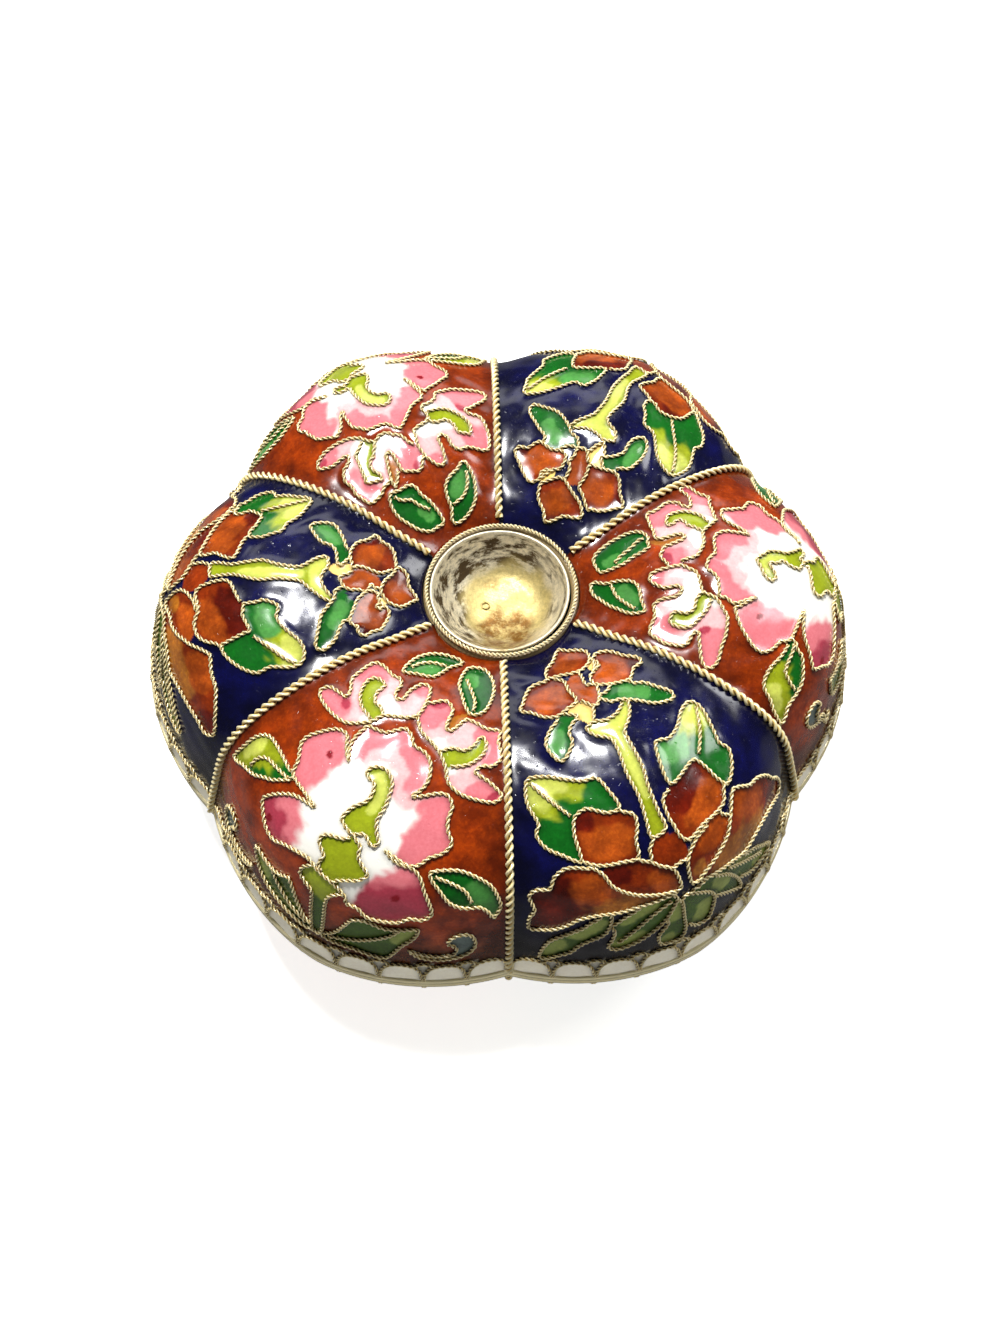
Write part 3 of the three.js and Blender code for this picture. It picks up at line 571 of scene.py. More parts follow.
# The wires were bent by hand, so each lobe has its flower a little differently. A pin takes a
# place in the drawing above to its place on this lobe, and what lies round it goes along.
PINS = {
    "lid_panel_right": [
        (-3.8, 41.8, -4.9, 41.0), (-2.7, 46.6, -3.1, 46.2), (0.9, 48.0, 0.3, 48.3),
        (-0.1, 45.2, -0.4, 44.8), (2.4, 48.2, 2.1, 47.7), (6.0, 44.6, 5.2, 44.6),
        (6.8, 40.3, 6.2, 40.4), (2.2, 44.6, 1.8, 44.3), (-0.5, 42.2, -0.9, 41.4),
        (0.7, 38.2, 0.0, 37.8), (-1.2, 36.5, -1.0, 36.0), (-2.2, 38.4, -2.9, 37.4),
        (-3.4, 40.7, -4.3, 40.2), (-7.3, 39.4, -8.3, 38.6), (-8.3, 36.9, -10.0, 35.8),
        (-8.5, 35.6, -10.3, 34.2), (-7.6, 34.0, -8.4, 33.6), (-10.9, 31.2, -13.0, 29.5),
        (-8.4, 31.4, -9.4, 30.4), (-4.5, 33.0, -5.0, 32.5), (-4.4, 38.7, -5.6, 37.5),
        (-6.6, 37.1, -7.7, 35.6), (-4.9, 34.7, -5.5, 33.9), (-2.4, 35.6, -3.3, 34.9),
        (-4.1, 36.3, -5.5, 35.4),
        (2.6, 41.0, 2.0, 39.7), (1.1, 37.6, 0.9, 37.9), (1.9, 36.3, 1.5, 35.5), (3.6, 35.2, 2.8, 34.5),
        (4.4, 37.2, 4.2, 36.1), (5.5, 38.9, 4.5, 39.2), (8.3, 37.6, 7.4, 38.3), (10.5, 35.7, 9.3, 36.3),
        (11.9, 33.2, 10.5, 34.0), (10.2, 32.7, 9.8, 33.3), (13.6, 28.2, 13.2, 29.9),
        (9.4, 29.4, 9.8, 30.1), (6.4, 32.4, 6.0, 32.0), (8.2, 36.5, 6.3, 36.9), (9.5, 34.2, 8.4, 33.8),
        (6.9, 32.7, 6.7, 32.4), (5.2, 34.5, 5.2, 33.9), (7.2, 34.7, 6.6, 34.8),
        (0.5, 35.8, -0.3, 34.9), (-3.7, 30.8, -4.7, 30.8), (5.3, 30.0, 4.6, 30.2),
        (4.7, 28.6, 4.4, 28.5), (-5.8, 31.1, -6.1, 30.4), (-9.2, 26.6, -10.5, 25.4),
        (-8.1, 23.8, -8.5, 23.1), (-3.9, 23.1, -4.6, 22.4), (7.2, 29.4, 6.8, 30.2),
        (9.2, 27.9, 8.7, 27.8), (11.0, 23.8, 10.3, 24.9), (8.8, 21.3, 7.8, 23.1),
        (-10.4, 18.8, -11.0, 18.0), (-7.2, 16.3, -8.0, 15.0), (9.5, 19.6, 10.3, 20.0),
        (-0.3, 29.1, -1.4, 26.6), (0.0, 30.5, -0.9, 28.1), (2.2, 29.6, 1.4, 28.2),
        (2.8, 26.6, 2.4, 25.6), (1.0, 27.7, 0.7, 26.9), (0.0, 25.7, 0.9, 24.9), (-0.6, 23.8, 0.5, 23.2),
        (3.9, 22.8, 3.5, 22.1), (-1.2, 21.6, -1.7, 21.4), (4.2, 19.1, 3.2, 19.4),
        (-18.1, 17.1, -18.8, 17.4), (-13.1, 23.7, -13.6, 23.5), (-11.7, 20.4, -11.0, 20.0),
        (-15.8, 10.3, -14.8, 14.2), (-17.5, 8.0, -16.5, 12.4), (-14.4, 8.6, -13.4, 12.4),
        (-10.3, 7.1, -12.0, 7.6),
    ],
    "lid_panel_back_left": [
        (-3.8, 41.8, -4.7, 41.2), (-2.7, 46.6, -3.4, 46.8), (0.9, 48.0, 0.2, 48.4),
        (-0.1, 45.2, -0.6, 45.4), (3.6, 48.1, 3.2, 47.9), (6.8, 40.3, 6.2, 41.0),
        (2.2, 44.6, 1.6, 44.8), (5.7, 39.7, 5.5, 40.4), (-0.5, 42.2, -1.9, 41.4),
        (0.7, 38.2, -0.7, 38.0), (-1.2, 36.5, -1.4, 36.0), (-2.4, 35.7, -2.7, 35.2),
        (-2.2, 38.4, -3.8, 37.4), (-3.4, 40.7, -4.9, 39.5), (-7.3, 39.4, -8.9, 38.5),
        (-8.3, 36.9, -10.1, 36.2), (-8.5, 35.6, -10.4, 34.0), (-7.6, 34.0, -8.8, 33.1),
        (-10.9, 31.2, -12.8, 29.1), (-8.4, 31.4, -9.2, 29.6), (-4.5, 33.0, -5.4, 32.0),
        (-4.4, 38.7, -6.0, 36.9), (-6.6, 37.1, -8.1, 35.6), (-4.9, 34.7, -6.2, 33.4),
        (-2.4, 35.6, -3.9, 34.9), (-4.1, 36.3, -5.6, 35.2),
        (2.7, 41.0, 1.2, 41.1), (1.1, 37.6, 0.1, 38.2), (1.9, 36.3, 0.8, 35.9), (4.4, 37.2, 3.0, 36.9),
        (5.5, 38.9, 4.4, 39.3), (8.3, 37.6, 7.7, 38.9), (10.5, 35.7, 9.4, 36.6),
        (11.9, 33.2, 9.8, 34.0), (10.2, 32.7, 7.9, 33.3), (13.6, 28.2, 11.1, 29.3),
        (9.4, 29.4, 8.0, 30.2), (6.4, 32.4, 4.8, 32.2), (3.6, 35.2, 2.0, 34.6), (8.2, 36.5, 5.2, 38.4),
        (9.5, 34.2, 7.2, 36.0), (6.9, 32.7, 5.8, 33.8), (5.2, 34.5, 3.9, 34.9), (7.2, 34.7, 5.3, 35.7),
        (0.5, 35.8, 0.1, 35.2), (-2.8, 33.7, -2.8, 32.4), (-3.7, 30.8, -4.7, 30.2),
        (3.6, 33.8, 3.2, 32.8), (5.3, 30.4, 4.7, 30.2), (-5.8, 31.1, -6.2, 29.5),
        (-3.0, 29.3, -4.2, 27.4), (-9.2, 26.6, -10.0, 25.6), (-8.1, 23.8, -9.0, 23.0),
        (-3.9, 23.1, -4.0, 22.6), (4.7, 28.6, 4.5, 27.8), (7.2, 29.4, 6.7, 29.7),
        (9.4, 26.6, 9.6, 26.2), (11.0, 23.8, 10.3, 24.0), (8.8, 21.3, 8.2, 22.0),
        (0.0, 30.5, -0.6, 31.0), (2.2, 29.6, 1.6, 29.6), (2.8, 26.6, 2.1, 26.6), (3.9, 22.8, 3.8, 24.0),
        (-0.5, 24.6, -0.7, 25.0), (-1.2, 21.6, -0.8, 22.6), (4.2, 19.1, 4.3, 20.2),
    ],
    "lid_panel_left": [
        (-2.1, 45.3, -2.4, 46.8), (1.3, 48.9, 1.2, 49.6), (3.5, 45.4, 2.7, 46.9),
        (0.4, 44.3, 0.3, 45.2), (-7.5, 40.2, -6.8, 41.5), (-4.4, 44.3, -4.2, 45.5),
        (-1.3, 42.1, -1.5, 42.6), (-0.2, 38.6, 0.3, 40.0), (5.0, 43.5, 4.9, 44.2),
        (8.2, 38.5, 7.6, 40.1), (1.4, 41.2, 1.4, 43.4), (3.9, 38.9, 3.6, 41.0),
        (-7.3, 33.4, -7.4, 34.6), (-2.4, 38.2, -1.2, 39.8), (8.3, 33.2, 9.9, 34.5),
        (6.7, 33.2, 8.0, 34.8), (1.1, 39.1, 1.8, 40.2), (4.4, 38.0, 5.4, 39.0),
        (-2.5, 36.3, -2.2, 38.1), (2.8, 36.0, 3.1, 37.6), (0.4, 32.7, 0.9, 33.9),
        (-1.1, 32.7, -0.8, 33.9), (-0.9, 24.9, -0.4, 26.0), (-2.5, 24.3, -2.2, 25.4),
        (-4.7, 30.4, -6.0, 31.4), (-4.2, 26.7, -5.5, 28.0), (-8.3, 26.9, -8.9, 27.9),
        (-9.2, 26.1, -9.8, 26.2), (-11.4, 31.0, -11.6, 31.5), (-13.2, 27.7, -12.9, 28.0),
        (-14.0, 24.3, -13.9, 25.5), (-10.8, 21.3, -11.8, 22.9),
        (2.8, 31.0, 4.0, 32.2), (7.8, 31.0, 8.6, 32.7), (10.3, 29.6, 11.9, 30.6),
        (10.4, 23.8, 12.2, 26.2), (9.7, 25.2, 11.7, 27.8), (7.8, 21.8, 8.5, 24.1),
        (6.4, 24.9, 7.3, 26.5), (1.6, 26.9, 3.5, 28.8), (-10.8, 22.7, -10.4, 23.6),
        (-7.8, 27.0, -7.4, 27.5), (-3.3, 25.4, -2.5, 27.0), (-5.0, 20.8, -4.2, 22.0),
        (0.0, 25.4, 0.4, 26.8), (4.2, 26.7, 5.6, 28.0), (6.9, 23.2, 8.0, 24.3), (0.8, 20.4, 1.4, 22.6),
        (-1.8, 22.2, -1.2, 24.1), (-1.7, 18.5, -1.0, 20.4), (-0.6, 17.7, 0.0, 20.2),
        (1.7, 19.9, 1.9, 22.0), (5.0, 20.2, 5.6, 21.2), (4.4, 17.6, 4.8, 19.2), (-0.6, 15.0, 0.4, 17.6),
        (0.2, 14.9, 1.2, 17.4), (7.8, 20.7, 8.6, 22.1), (12.2, 18.5, 13.0, 20.7),
        (16.1, 14.1, 17.4, 16.6), (15.8, 11.3, 16.8, 14.4), (9.4, 12.7, 10.0, 15.2),
        (5.0, 13.2, 6.2, 15.9), (-18.9, 10.7, -18.6, 12.6), (-12.5, 20.6, -11.8, 22.2),
        (-2.2, 13.7, -0.8, 16.2), (12.6, 6.1, 13.6, 8.0), (-18.4, 4.7, -18.4, 6.2),
        (-3.6, 4.7, -3.0, 6.2),
    ],
    "lid_panel_back_right": [
        (-2.1, 45.3, -4.2, 45.3), (1.3, 48.9, -0.2, 48.8), (3.5, 45.4, 2.0, 45.5),
        (0.4, 44.3, -0.8, 43.7), (-7.5, 40.2, -8.6, 39.2), (-4.4, 44.3, -5.4, 43.0),
        (-2.0, 44.6, -2.8, 43.0), (-1.3, 42.1, -2.2, 41.6), (-2.8, 39.6, -3.1, 39.4),
        (-5.6, 39.1, -6.3, 38.2), (0.4, 44.0, -0.7, 43.0), (-0.2, 38.6, -0.9, 38.7),
        (1.2, 40.3, 0.0, 40.0), (3.9, 44.1, 3.2, 44.2), (8.2, 38.5, 7.4, 39.4), (3.9, 38.9, 3.6, 39.4),
        (1.4, 41.2, 0.9, 41.2), (-7.3, 33.4, -7.3, 32.6), (-6.7, 33.1, -6.2, 31.8),
        (-2.4, 38.2, -2.8, 38.2), (8.3, 33.2, 8.4, 33.4), (1.1, 39.1, 0.5, 38.7),
        (-2.5, 36.3, -3.2, 35.4), (2.8, 36.0, 2.0, 35.5), (0.4, 32.7, 0.3, 32.3),
        (-1.1, 32.7, -1.2, 32.3), (-0.9, 24.9, 0.1, 25.0), (-2.5, 24.3, -1.5, 24.5),
        (-12.5, 29.6, -12.9, 30.0), (-9.4, 31.3, -9.4, 31.9), (-4.7, 30.4, -5.2, 30.4),
        (-4.2, 26.7, -4.0, 27.1), (2.8, 31.0, 3.6, 29.2), (7.8, 31.0, 8.2, 30.5),
        (10.3, 29.6, 10.9, 29.4), (10.0, 26.6, 11.2, 26.4), (10.4, 23.8, 11.2, 23.0),
        (7.8, 21.8, 8.8, 20.9), (4.2, 26.7, 4.9, 25.4), (1.6, 26.9, 2.6, 25.4),
        (-7.8, 27.0, -6.2, 26.8), (-3.3, 25.4, -2.0, 25.7), (-5.0, 20.8, -3.4, 21.4),
        (-10.8, 22.7, -9.6, 23.0), (0.0, 25.4, 1.0, 24.0), (6.1, 24.9, 6.9, 24.0),
        (-0.2, 22.1, 0.9, 21.6), (6.9, 21.8, 7.2, 21.0),
    ],
}


# How a drawing is laid on a lobe, in millimetres
PIN_SOFTNESS = 0.5
MARGIN_AT_GROOVE = 0.5
OUTLINE_STEP = 0.12
SHARED_REACH = 0.8
SHARED_SOFTNESS = 0.4
FREE_FROM = 0.3
FEWEST_POINTS = 10


def settle(points, pins):
    """Moves points of a drawing as the pins say, the nearest pin most."""
    points = np.asarray(points, float)
    if not pins:
        return points
    pins = np.array(pins)
    away = (points[:, None, 0] - pins[:, 0]) ** 2 + (points[:, None, 1] - pins[:, 1]) ** 2
    weight = 1 / (away + PIN_SOFTNESS) ** 2
    weight /= weight.sum(1, keepdims=True)
    moved = points + weight @ (pins[:, 2:] - pins[:, :2])
    reach = half_panel(moved[:, 1]) - MARGIN_AT_GROOVE
    return np.stack([np.clip(moved[:, 0], -reach, reach), moved[:, 1]], 1)


def nearest_of(drawn, points):
    """The drawn point nearest to each point, and how far away it is."""
    tree = KDTree(len(drawn))
    for i, (x, y) in enumerate(drawn):
        tree.insert((x, y, 0.0), i)
    tree.balance()
    found = [tree.find((x, y, 0.0)) for x, y in points]
    return drawn[[hit[1] for hit in found]], np.array([hit[2] for hit in found])


def share_edges(outline, drawn):
    """The outline drawn onto the edges it meets, and the runs of it that need a new wire."""
    if not len(drawn):
        return outline, [(outline, True)]
    nearest, away = nearest_of(drawn, outline)
    pull = smooth_step((SHARED_REACH - away) / SHARED_SOFTNESS)
    outline = outline + pull[:, None] * (nearest - outline)
    free = nearest_of(drawn, outline)[1] > FREE_FROM
    if free.all():
        return outline, [(outline, True)]
    first = int(np.argmin(free))
    outline, free = np.roll(outline, -first, axis=0), np.roll(free, -first)
    ends = np.flatnonzero(np.diff(np.concatenate([[0], free.astype(int), [0]])))
    runs = [outline[max(a - 2, 0):b + 2] for a, b in zip(ends[::2], ends[1::2])]
    return outline, [(run, False) for run in runs if len(run) > FEWEST_POINTS]


def flower_on(name, flower):
    """The cells of a flower as they lie on one lobe. Cells that touch share one wire."""
    pins = PINS.get(name)
    cells, drawn = [], np.empty((0, 2))
    for part in DESIGNS[flower][0]:
        outline = settle(spline(part["outline"], closed=True), pins)
        outline = even(outline, OUTLINE_STEP, closed=True)
        outline, edges = share_edges(outline, drawn)
        drawn = np.vstack([drawn, outline])
        veins = [(settle(spline(vein), pins), False) for vein in part["veins"]]
        tints = [dict(run, spine=settle(run["spine"], pins)) for run in part["tints"]]
        cells.append({
            "colour": part["colour"], "outline": outline, "tints": tints, "edges": edges + veins})
    return cells


class Scales:
    """The border of scales above the band, as shares of a lobe's half width and millimetres up."""

    def __init__(self, sizes):
        self.count = sizes.scales_per_lobe
        self.height = sizes.scale_height / MM
        self.squareness = 2.6
        self.half = 0.95 / self.count
        self.centres = -1 + (2 * np.arange(self.count) + 1) / self.count
        self.peek = 0.45
        self.peek_half = 0.5 / self.count

    def arches(self):
        """Each scale's wire as points of share across and millimetres up."""
        turn = np.linspace(math.pi, 0, 25)
        power = 2 / self.squareness
        across = np.sign(np.cos(turn)) * np.abs(np.cos(turn)) ** power * self.half
        up = np.abs(np.sin(turn)) ** power * self.height
        first = [np.stack([centre + across, up], 1) for centre in self.centres]
        turn = np.linspace(math.radians(150), math.radians(30), 9)
        between = (self.centres[1:] + self.centres[:-1]) / 2
        across = np.cos(turn) * self.peek_half
        up = self.height - 1.0 + np.sin(turn) * (1.0 + self.peek)
        second = [np.stack([centre + across, up], 1) for centre in between]
        return first + second

    def cover(self, share, up):
        """Which points lie in a scale of either row."""
        nearest = share[..., None] - self.centres
        off = np.abs(nearest).min(-1) / self.half
        low = up < self.height * np.clip(1 - off**self.squareness, 0, 1) ** (1 / self.squareness)
        gap = np.abs(share[..., None] - (self.centres[1:] + self.centres[:-1]) / 2).min(-1)
        high = (up < self.height + self.peek) & (gap < self.peek_half) & (up > self.height * 0.4)
        return low, high & ~low


# Meshes

def add_layer(mesh, name, values):
    """A colour layer on the points of a mesh. Channels that the values leave out are 1."""
    rgba = np.ones((len(mesh.vertices), 4), np.float32)
    rgba[:, :values.shape[1]] = values
    layer = mesh.attributes.new(name, "FLOAT_COLOR", "POINT")
    layer.data.foreach_set("color", rgba.ravel())


def add_mesh(name, points, faces, material, layers=None):
    """A smooth-shaded mesh from points in millimetres, with colour layers on its points."""
    mesh = bpy.data.meshes.new(name)
    mesh.from_pydata((np.asarray(points) * MM).tolist(), [], faces)
    mesh.polygons.foreach_set("use_smooth", np.ones(len(mesh.polygons), bool))
    for layer, values in (layers or {}).items():
        add_layer(mesh, layer, values)
    mesh.materials.append(material)
    mesh.update()
    piece = bpy.data.objects.new(name, mesh)
    bpy.context.scene.collection.objects.link(piece)
    return piece


def place(piece, slot, *nodes):
    """Seats a finished piece on the frame."""
    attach(piece, "root")
    if nodes:
        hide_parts(*nodes)


def grid_faces(rows, columns, start=0, wrap=False):
    """Quads of a grid whose points run along the columns first."""
    i = np.arange(rows - 1)[:, None]
    j = np.arange(columns if wrap else columns - 1)[None, :]
    right = (j + 1) % columns
    here, beside = i * columns + j, i * columns + right
    faces = np.stack([here, beside, beside + columns, here + columns], -1).reshape(-1, 4)
    return (faces + start).tolist()


def twisted_section(radius, sides):
    """Radii round a pair of round strands that lie against each other."""
    strand, off = radius * 0.51, radius * 0.49
    turn = np.arange(sides) / sides * 2 * math.pi
    reach = np.sqrt(np.maximum(strand**2 - (off * np.sin(turn)) ** 2, (strand * 0.25) ** 2))
    return turn, off * np.abs(np.cos(turn)) + reach


def twisted_tube(path, normals, radius, twist, sides=8, closed=False, start=0.0):
    """Points, faces and crevice shade of a wire twisted from two strands along a path."""
    ahead = np.roll(path, -1, 0) - np.roll(path, 1, 0)
    if not closed:
        ahead[0], ahead[-1] = path[1] - path[0], path[-1] - path[-2]
    ahead /= np.linalg.norm(ahead, axis=1, keepdims=True)
    side = np.cross(normals, ahead)
    side /= np.linalg.norm(side, axis=1, keepdims=True)
    over = np.cross(ahead, side)
    steps = np.linalg.norm(np.diff(path, axis=0), axis=1)
    along = np.concatenate([[0], np.cumsum(steps)])
    length = along[-1] + (np.linalg.norm(path[0] - path[-1]) if closed else 0)
    half_turns = max(1, round(2 * length / twist))
    angle = start + along / length * half_turns * math.pi
    turn, reach = twisted_section(radius, sides)
    swing = turn[None, :] + angle[:, None]
    ring = path[:, None, :] + reach[None, :, None] * (
        np.cos(swing)[..., None] * side[:, None, :] + np.sin(swing)[..., None] * over[:, None, :])
    shade = np.repeat(((reach - reach.min()) / (reach.max() - reach.min()))[None, :], len(path), 0)
    points, rows = ring.reshape(-1, 3), len(path)
    faces = grid_faces(rows, sides, wrap=True)
    if closed:
        last = (rows - 1) * sides
        shift = (sides // 2) * (half_turns % 2)
        faces += [[last + j, last + (j + 1) % sides, (j + 1 + shift) % sides, (j + shift) % sides]
                  for j in range(sides)]
    else:
        faces.append(list(range(sides))[::-1])
        faces.append([(rows - 1) * sides + j for j in range(sides)])
    return points, faces, shade.ravel()


class WireBundle:
    """Wires gathered into one mesh."""

    def __init__(self):
        self.points, self.faces, self.shade, self.count = [], [], [], 0

    def add(self, path, normals, radius, twist, **options):
        points, faces, shade = twisted_tube(path, normals, radius, twist, **options)
        self.points.append(points)
        self.faces += [[corner + self.count for corner in face] for face in faces]
        self.shade.append(shade)
        self.count += len(points)

    def build(self, name, material):
        shade = np.concatenate(self.shade)
        layer = np.repeat(shade[:, None], 3, 1)
        return add_mesh(name, np.vstack(self.points), self.faces, material, {"strand": layer})


def panel_wires(cells, scales, step):
    """The wires of a lobe of the lid, flat, each with whether it closes on itself."""
    wires = []
    for part in cells:
        wires += [(even(edge, step, closed=closed), closed) for edge, closed in part["edges"]]
    for arch in scales.arches():
        flat = np.stack([arch[:, 0] * half_panel(arch[:, 1]), arch[:, 1]], 1)
        wires.append((even(flat, step), False))
    return wires


# How far each enamel lets the mottled metal beneath it show
CLEARNESS = {"white": 0.0, "orange": 0.9, "bright_orange": 0.8, "lime": 0.2}
USUAL_CLEARNESS = 0.35
SCALE_CLEARNESS = 0.1
LINING_CLEARNESS = 0.6

# The second row of scales lies deeper; painted shade makes it darker
SECOND_ROW_SHADE = 0.6

# Painted reflection: the grounds are mixed with a dull grey-olive towards the border, for the dark
# reflection there: how much, and over which millimetres
BORDER_REFLECTION_SHARE = 0.6
BORDER_REFLECTION_TOP = 12.0
BORDER_REFLECTION_REACH = 7.0

# Painted shade: the clear enamels are coloured darker towards the grooves, the band and the cup
LIGHT_AT_EDGE = 0.56
LIGHT_GAINED = 0.46
DARK_AT_GROOVE = 4.5
DARK_AT_BAND = 10.0
DARK_AT_CUP = 5.0


def paint(cells, ground, scales, colours, share, x, y):
    """Colour of the enamel at points of a lobe, and how clear it is."""
    colour = np.tile(np.array(getattr(colours, ground)), (x.size, 1))
    # Painted reflection: the ground is dulled towards the border
    border_reflected = BORDER_REFLECTION_SHARE * smooth_step((BORDER_REFLECTION_TOP - y) / BORDER_REFLECTION_REACH)[:, None]
    colour = colour * (1 - border_reflected) + np.array(colours.border_reflection) * border_reflected
    clear = np.ones(x.size)
    drift = [ripple(x, y, 2.6, seed) + 0.5 * ripple(x, y, 1.1, seed + 10) for seed in (1, 2)]
    for part in cells:
        hit = inside(part["outline"][::2], x, y)
        fill = np.tile(np.array(getattr(colours, part["colour"])), (hit.sum(), 1))
        for run in part["tints"]:
            loose = min(0.45, run["reach"] / 5)
            astray = [drift[k][hit] * loose for k in (0, 1)]
            away = distance_to_spine(run["spine"], x[hit] + astray[0], y[hit] + astray[1])
            mix = smooth_step((1.2 - away / run["reach"]) / 0.42)[:, None]
            fill = fill * (1 - mix) + np.array(getattr(colours, run["colour"])) * mix
        colour[hit] = fill
        clear[hit] = CLEARNESS.get(part["colour"], USUAL_CLEARNESS)
    thick = 0.22 * ripple(x, y, 7.0, 7) + 0.16 * ripple(x, y, 3.2, 8)
    # Painted shade towards the grooves, the band and the cup, times a random unevenness in the clear
    # enamels
    edge = smooth_step((half_panel(y) - np.abs(x)) / DARK_AT_GROOVE) * smooth_step(y / DARK_AT_BAND)
    edge = edge * smooth_step((LID_LENGTH - y) / DARK_AT_CUP)
    uneven = 1 + thick * np.where(clear > 0.5, 1.0, 0.25)
    light = (LIGHT_AT_EDGE + LIGHT_GAINED * edge) * uneven
    colour = colour * np.where(clear > 0.2, light, 1.0)[:, None]
    low, high = scales.cover(share, y)
    colour[low] = colours.cream
    # Painted shade on the second row of scales
    colour[high] = np.array(colours.cream) * SECOND_ROW_SHADE
    clear[low | high] = SCALE_CLEARNESS
    return colour, clear


def distance_to_spine(spine, x, y):
    """Distance from each point to a point or a line of straight stretches."""
    if len(spine) == 1:
        return np.hypot(x - spine[0, 0], y - spine[0, 1])
    nearest = np.full(x.shape, np.inf)
    for start, end in zip(spine, spine[1:]):
        run = end - start
        share = np.clip(((x - start[0]) * run[0] + (y - start[1]) * run[1]) / (run @ run), 0, 1)
        away = np.hypot(x - start[0] - share * run[0], y - start[1] - share * run[1])
        nearest = np.minimum(nearest, away)
    return nearest


def ripple(x, y, length, seed):
    """A gentle uneven value of about -1 to 1 with waves of about the given length."""
    chance = np.random.default_rng(seed)
    total = np.zeros(x.shape)
    for _ in range(7):
        turn, phase = chance.uniform(0, 2 * math.pi, 2)
        wave = 2 * math.pi / (length * chance.uniform(0.7, 1.6))
        total += np.sin((x * math.cos(turn) + y * math.sin(turn)) * wave + phase)
    return total / 3.5


def closed_skin(name, outer, inner, rows, columns, coarse, material, layers):
    """A fine outer sheet and a coarse inner sheet, sewn together round their edges."""
    front = rows * columns
    picked_rows = list(range(0, rows, coarse))
    picked_columns = list(range(0, columns, coarse))
    back = inner.reshape(rows, columns, 3)[np.ix_(picked_rows, picked_columns)]
    wide, high = len(picked_columns), len(picked_rows)
    faces = grid_faces(rows, columns)
    faces += [face[::-1] for face in grid_faces(high, wide, front)]
    bottom = [(j, front + j // coarse) for j in range(columns)]
    top = [((rows - 1) * columns + j, front + (high - 1) * wide + j // coarse) for j in range(columns)]
    left = [(i * columns, front + (i // coarse) * wide) for i in range(rows)]
    right = [(i * columns + columns - 1, front + (i // coarse) * wide + wide - 1) for i in range(rows)]
    for edge, flip in ((bottom, True), (right, True), (top, False), (left, False)):
        for k in range(0, len(edge) - 1, coarse):
            fine = [edge[k + s][0] for s in range(coarse + 1)]
            loop = fine + [edge[k + coarse][1], edge[k][1]]
            faces.append(loop[::-1] if flip else loop)
    points = np.vstack([outer, back.reshape(-1, 3)])
    back_index = [r * columns + c for r in picked_rows for c in picked_columns]
    full = {key: np.vstack([value, value[back_index]]) for key, value in layers.items()}
    return add_mesh(name, points, faces, material, full)


# Materials

def new_material(name):
    material = bpy.data.materials.new(name)
    material.use_nodes = True
    nodes = material.node_tree.nodes
    nodes.clear()
    output = nodes.new("ShaderNodeOutputMaterial")
    shader = nodes.new("ShaderNodeBsdfPrincipled")
    material.node_tree.links.new(shader.outputs["BSDF"], output.inputs["Surface"])
    return material, shader


def node(tree, kind, **values):
    """A node with its settings, and with values on sockets named by the keys."""
    made = tree.nodes.new(kind)
    for key, value in values.items():
        if key in made.inputs:
            made.inputs[key].default_value = value
        else:
            setattr(made, key, value)
    return made


def mix_colour(tree, factor, first, second, blend="MIX"):
    """A colour mix whose inputs are sockets or plain values."""
    mix = node(tree, "ShaderNodeMix", data_type="RGBA", blend_type=blend)
    for index, value in ((0, factor), (6, first), (7, second)):
        if isinstance(value, bpy.types.NodeSocket):
            tree.links.new(value, mix.inputs[index])
        elif index == 0:
            mix.inputs[index].default_value = value
        else:
            mix.inputs[index].default_value = (*value, 1.0)
    return mix.outputs[2]


def ramp(tree, source, stops):
    """A grey ramp over a value, from (position, value) pairs."""
    made = tree.nodes.new("ShaderNodeValToRGB")
    elements = made.color_ramp.elements
    while len(elements) < len(stops):
        elements.new(0.5)
    for element, (position, value) in zip(elements, stops):
        element.position = position
        element.color = (value, value, value, 1.0)
    tree.links.new(source, made.inputs["Fac"])
    return made.outputs["Color"]


def maths(tree, operation, *values):
    """A maths node whose inputs are sockets or plain numbers."""
    made = node(tree, "ShaderNodeMath", operation=operation)
    for socket, value in zip(made.inputs, values):
        if isinstance(value, bpy.types.NodeSocket):
            tree.links.new(value, socket)
        else:
            socket.default_value = value
    return made.outputs[0]


def between(tree, source, low, high):
    """A value that runs from low to high as the source runs from 0 to 1."""
    made = node(tree, "ShaderNodeMapRange", **{"To Min": low, "To Max": high})
    tree.links.new(source, made.inputs["Value"])
    return made.outputs["Result"]


def noise(tree, scale, detail=4.0, roughness=0.55):
    coordinate = tree.nodes.new("ShaderNodeTexCoord")
    made = node(tree, "ShaderNodeTexNoise", Scale=scale, Detail=detail, Roughness=roughness)
    tree.links.new(coordinate.outputs["Object"], made.inputs["Vector"])
    return made.outputs["Fac"]


def group_tree(name, inputs, outputs):
    """A shader node group with named sockets and its own input and output nodes."""
    tree = bpy.data.node_groups.new(name, "ShaderNodeTree")
    for label, kind, value in inputs:
        socket = tree.interface.new_socket(label, in_out="INPUT", socket_type=kind)
        if value is not None:
            socket.default_value = value
    for label, kind in outputs:
        tree.interface.new_socket(label, in_out="OUTPUT", socket_type=kind)
    return tree, tree.nodes.new("NodeGroupInput"), tree.nodes.new("NodeGroupOutput")


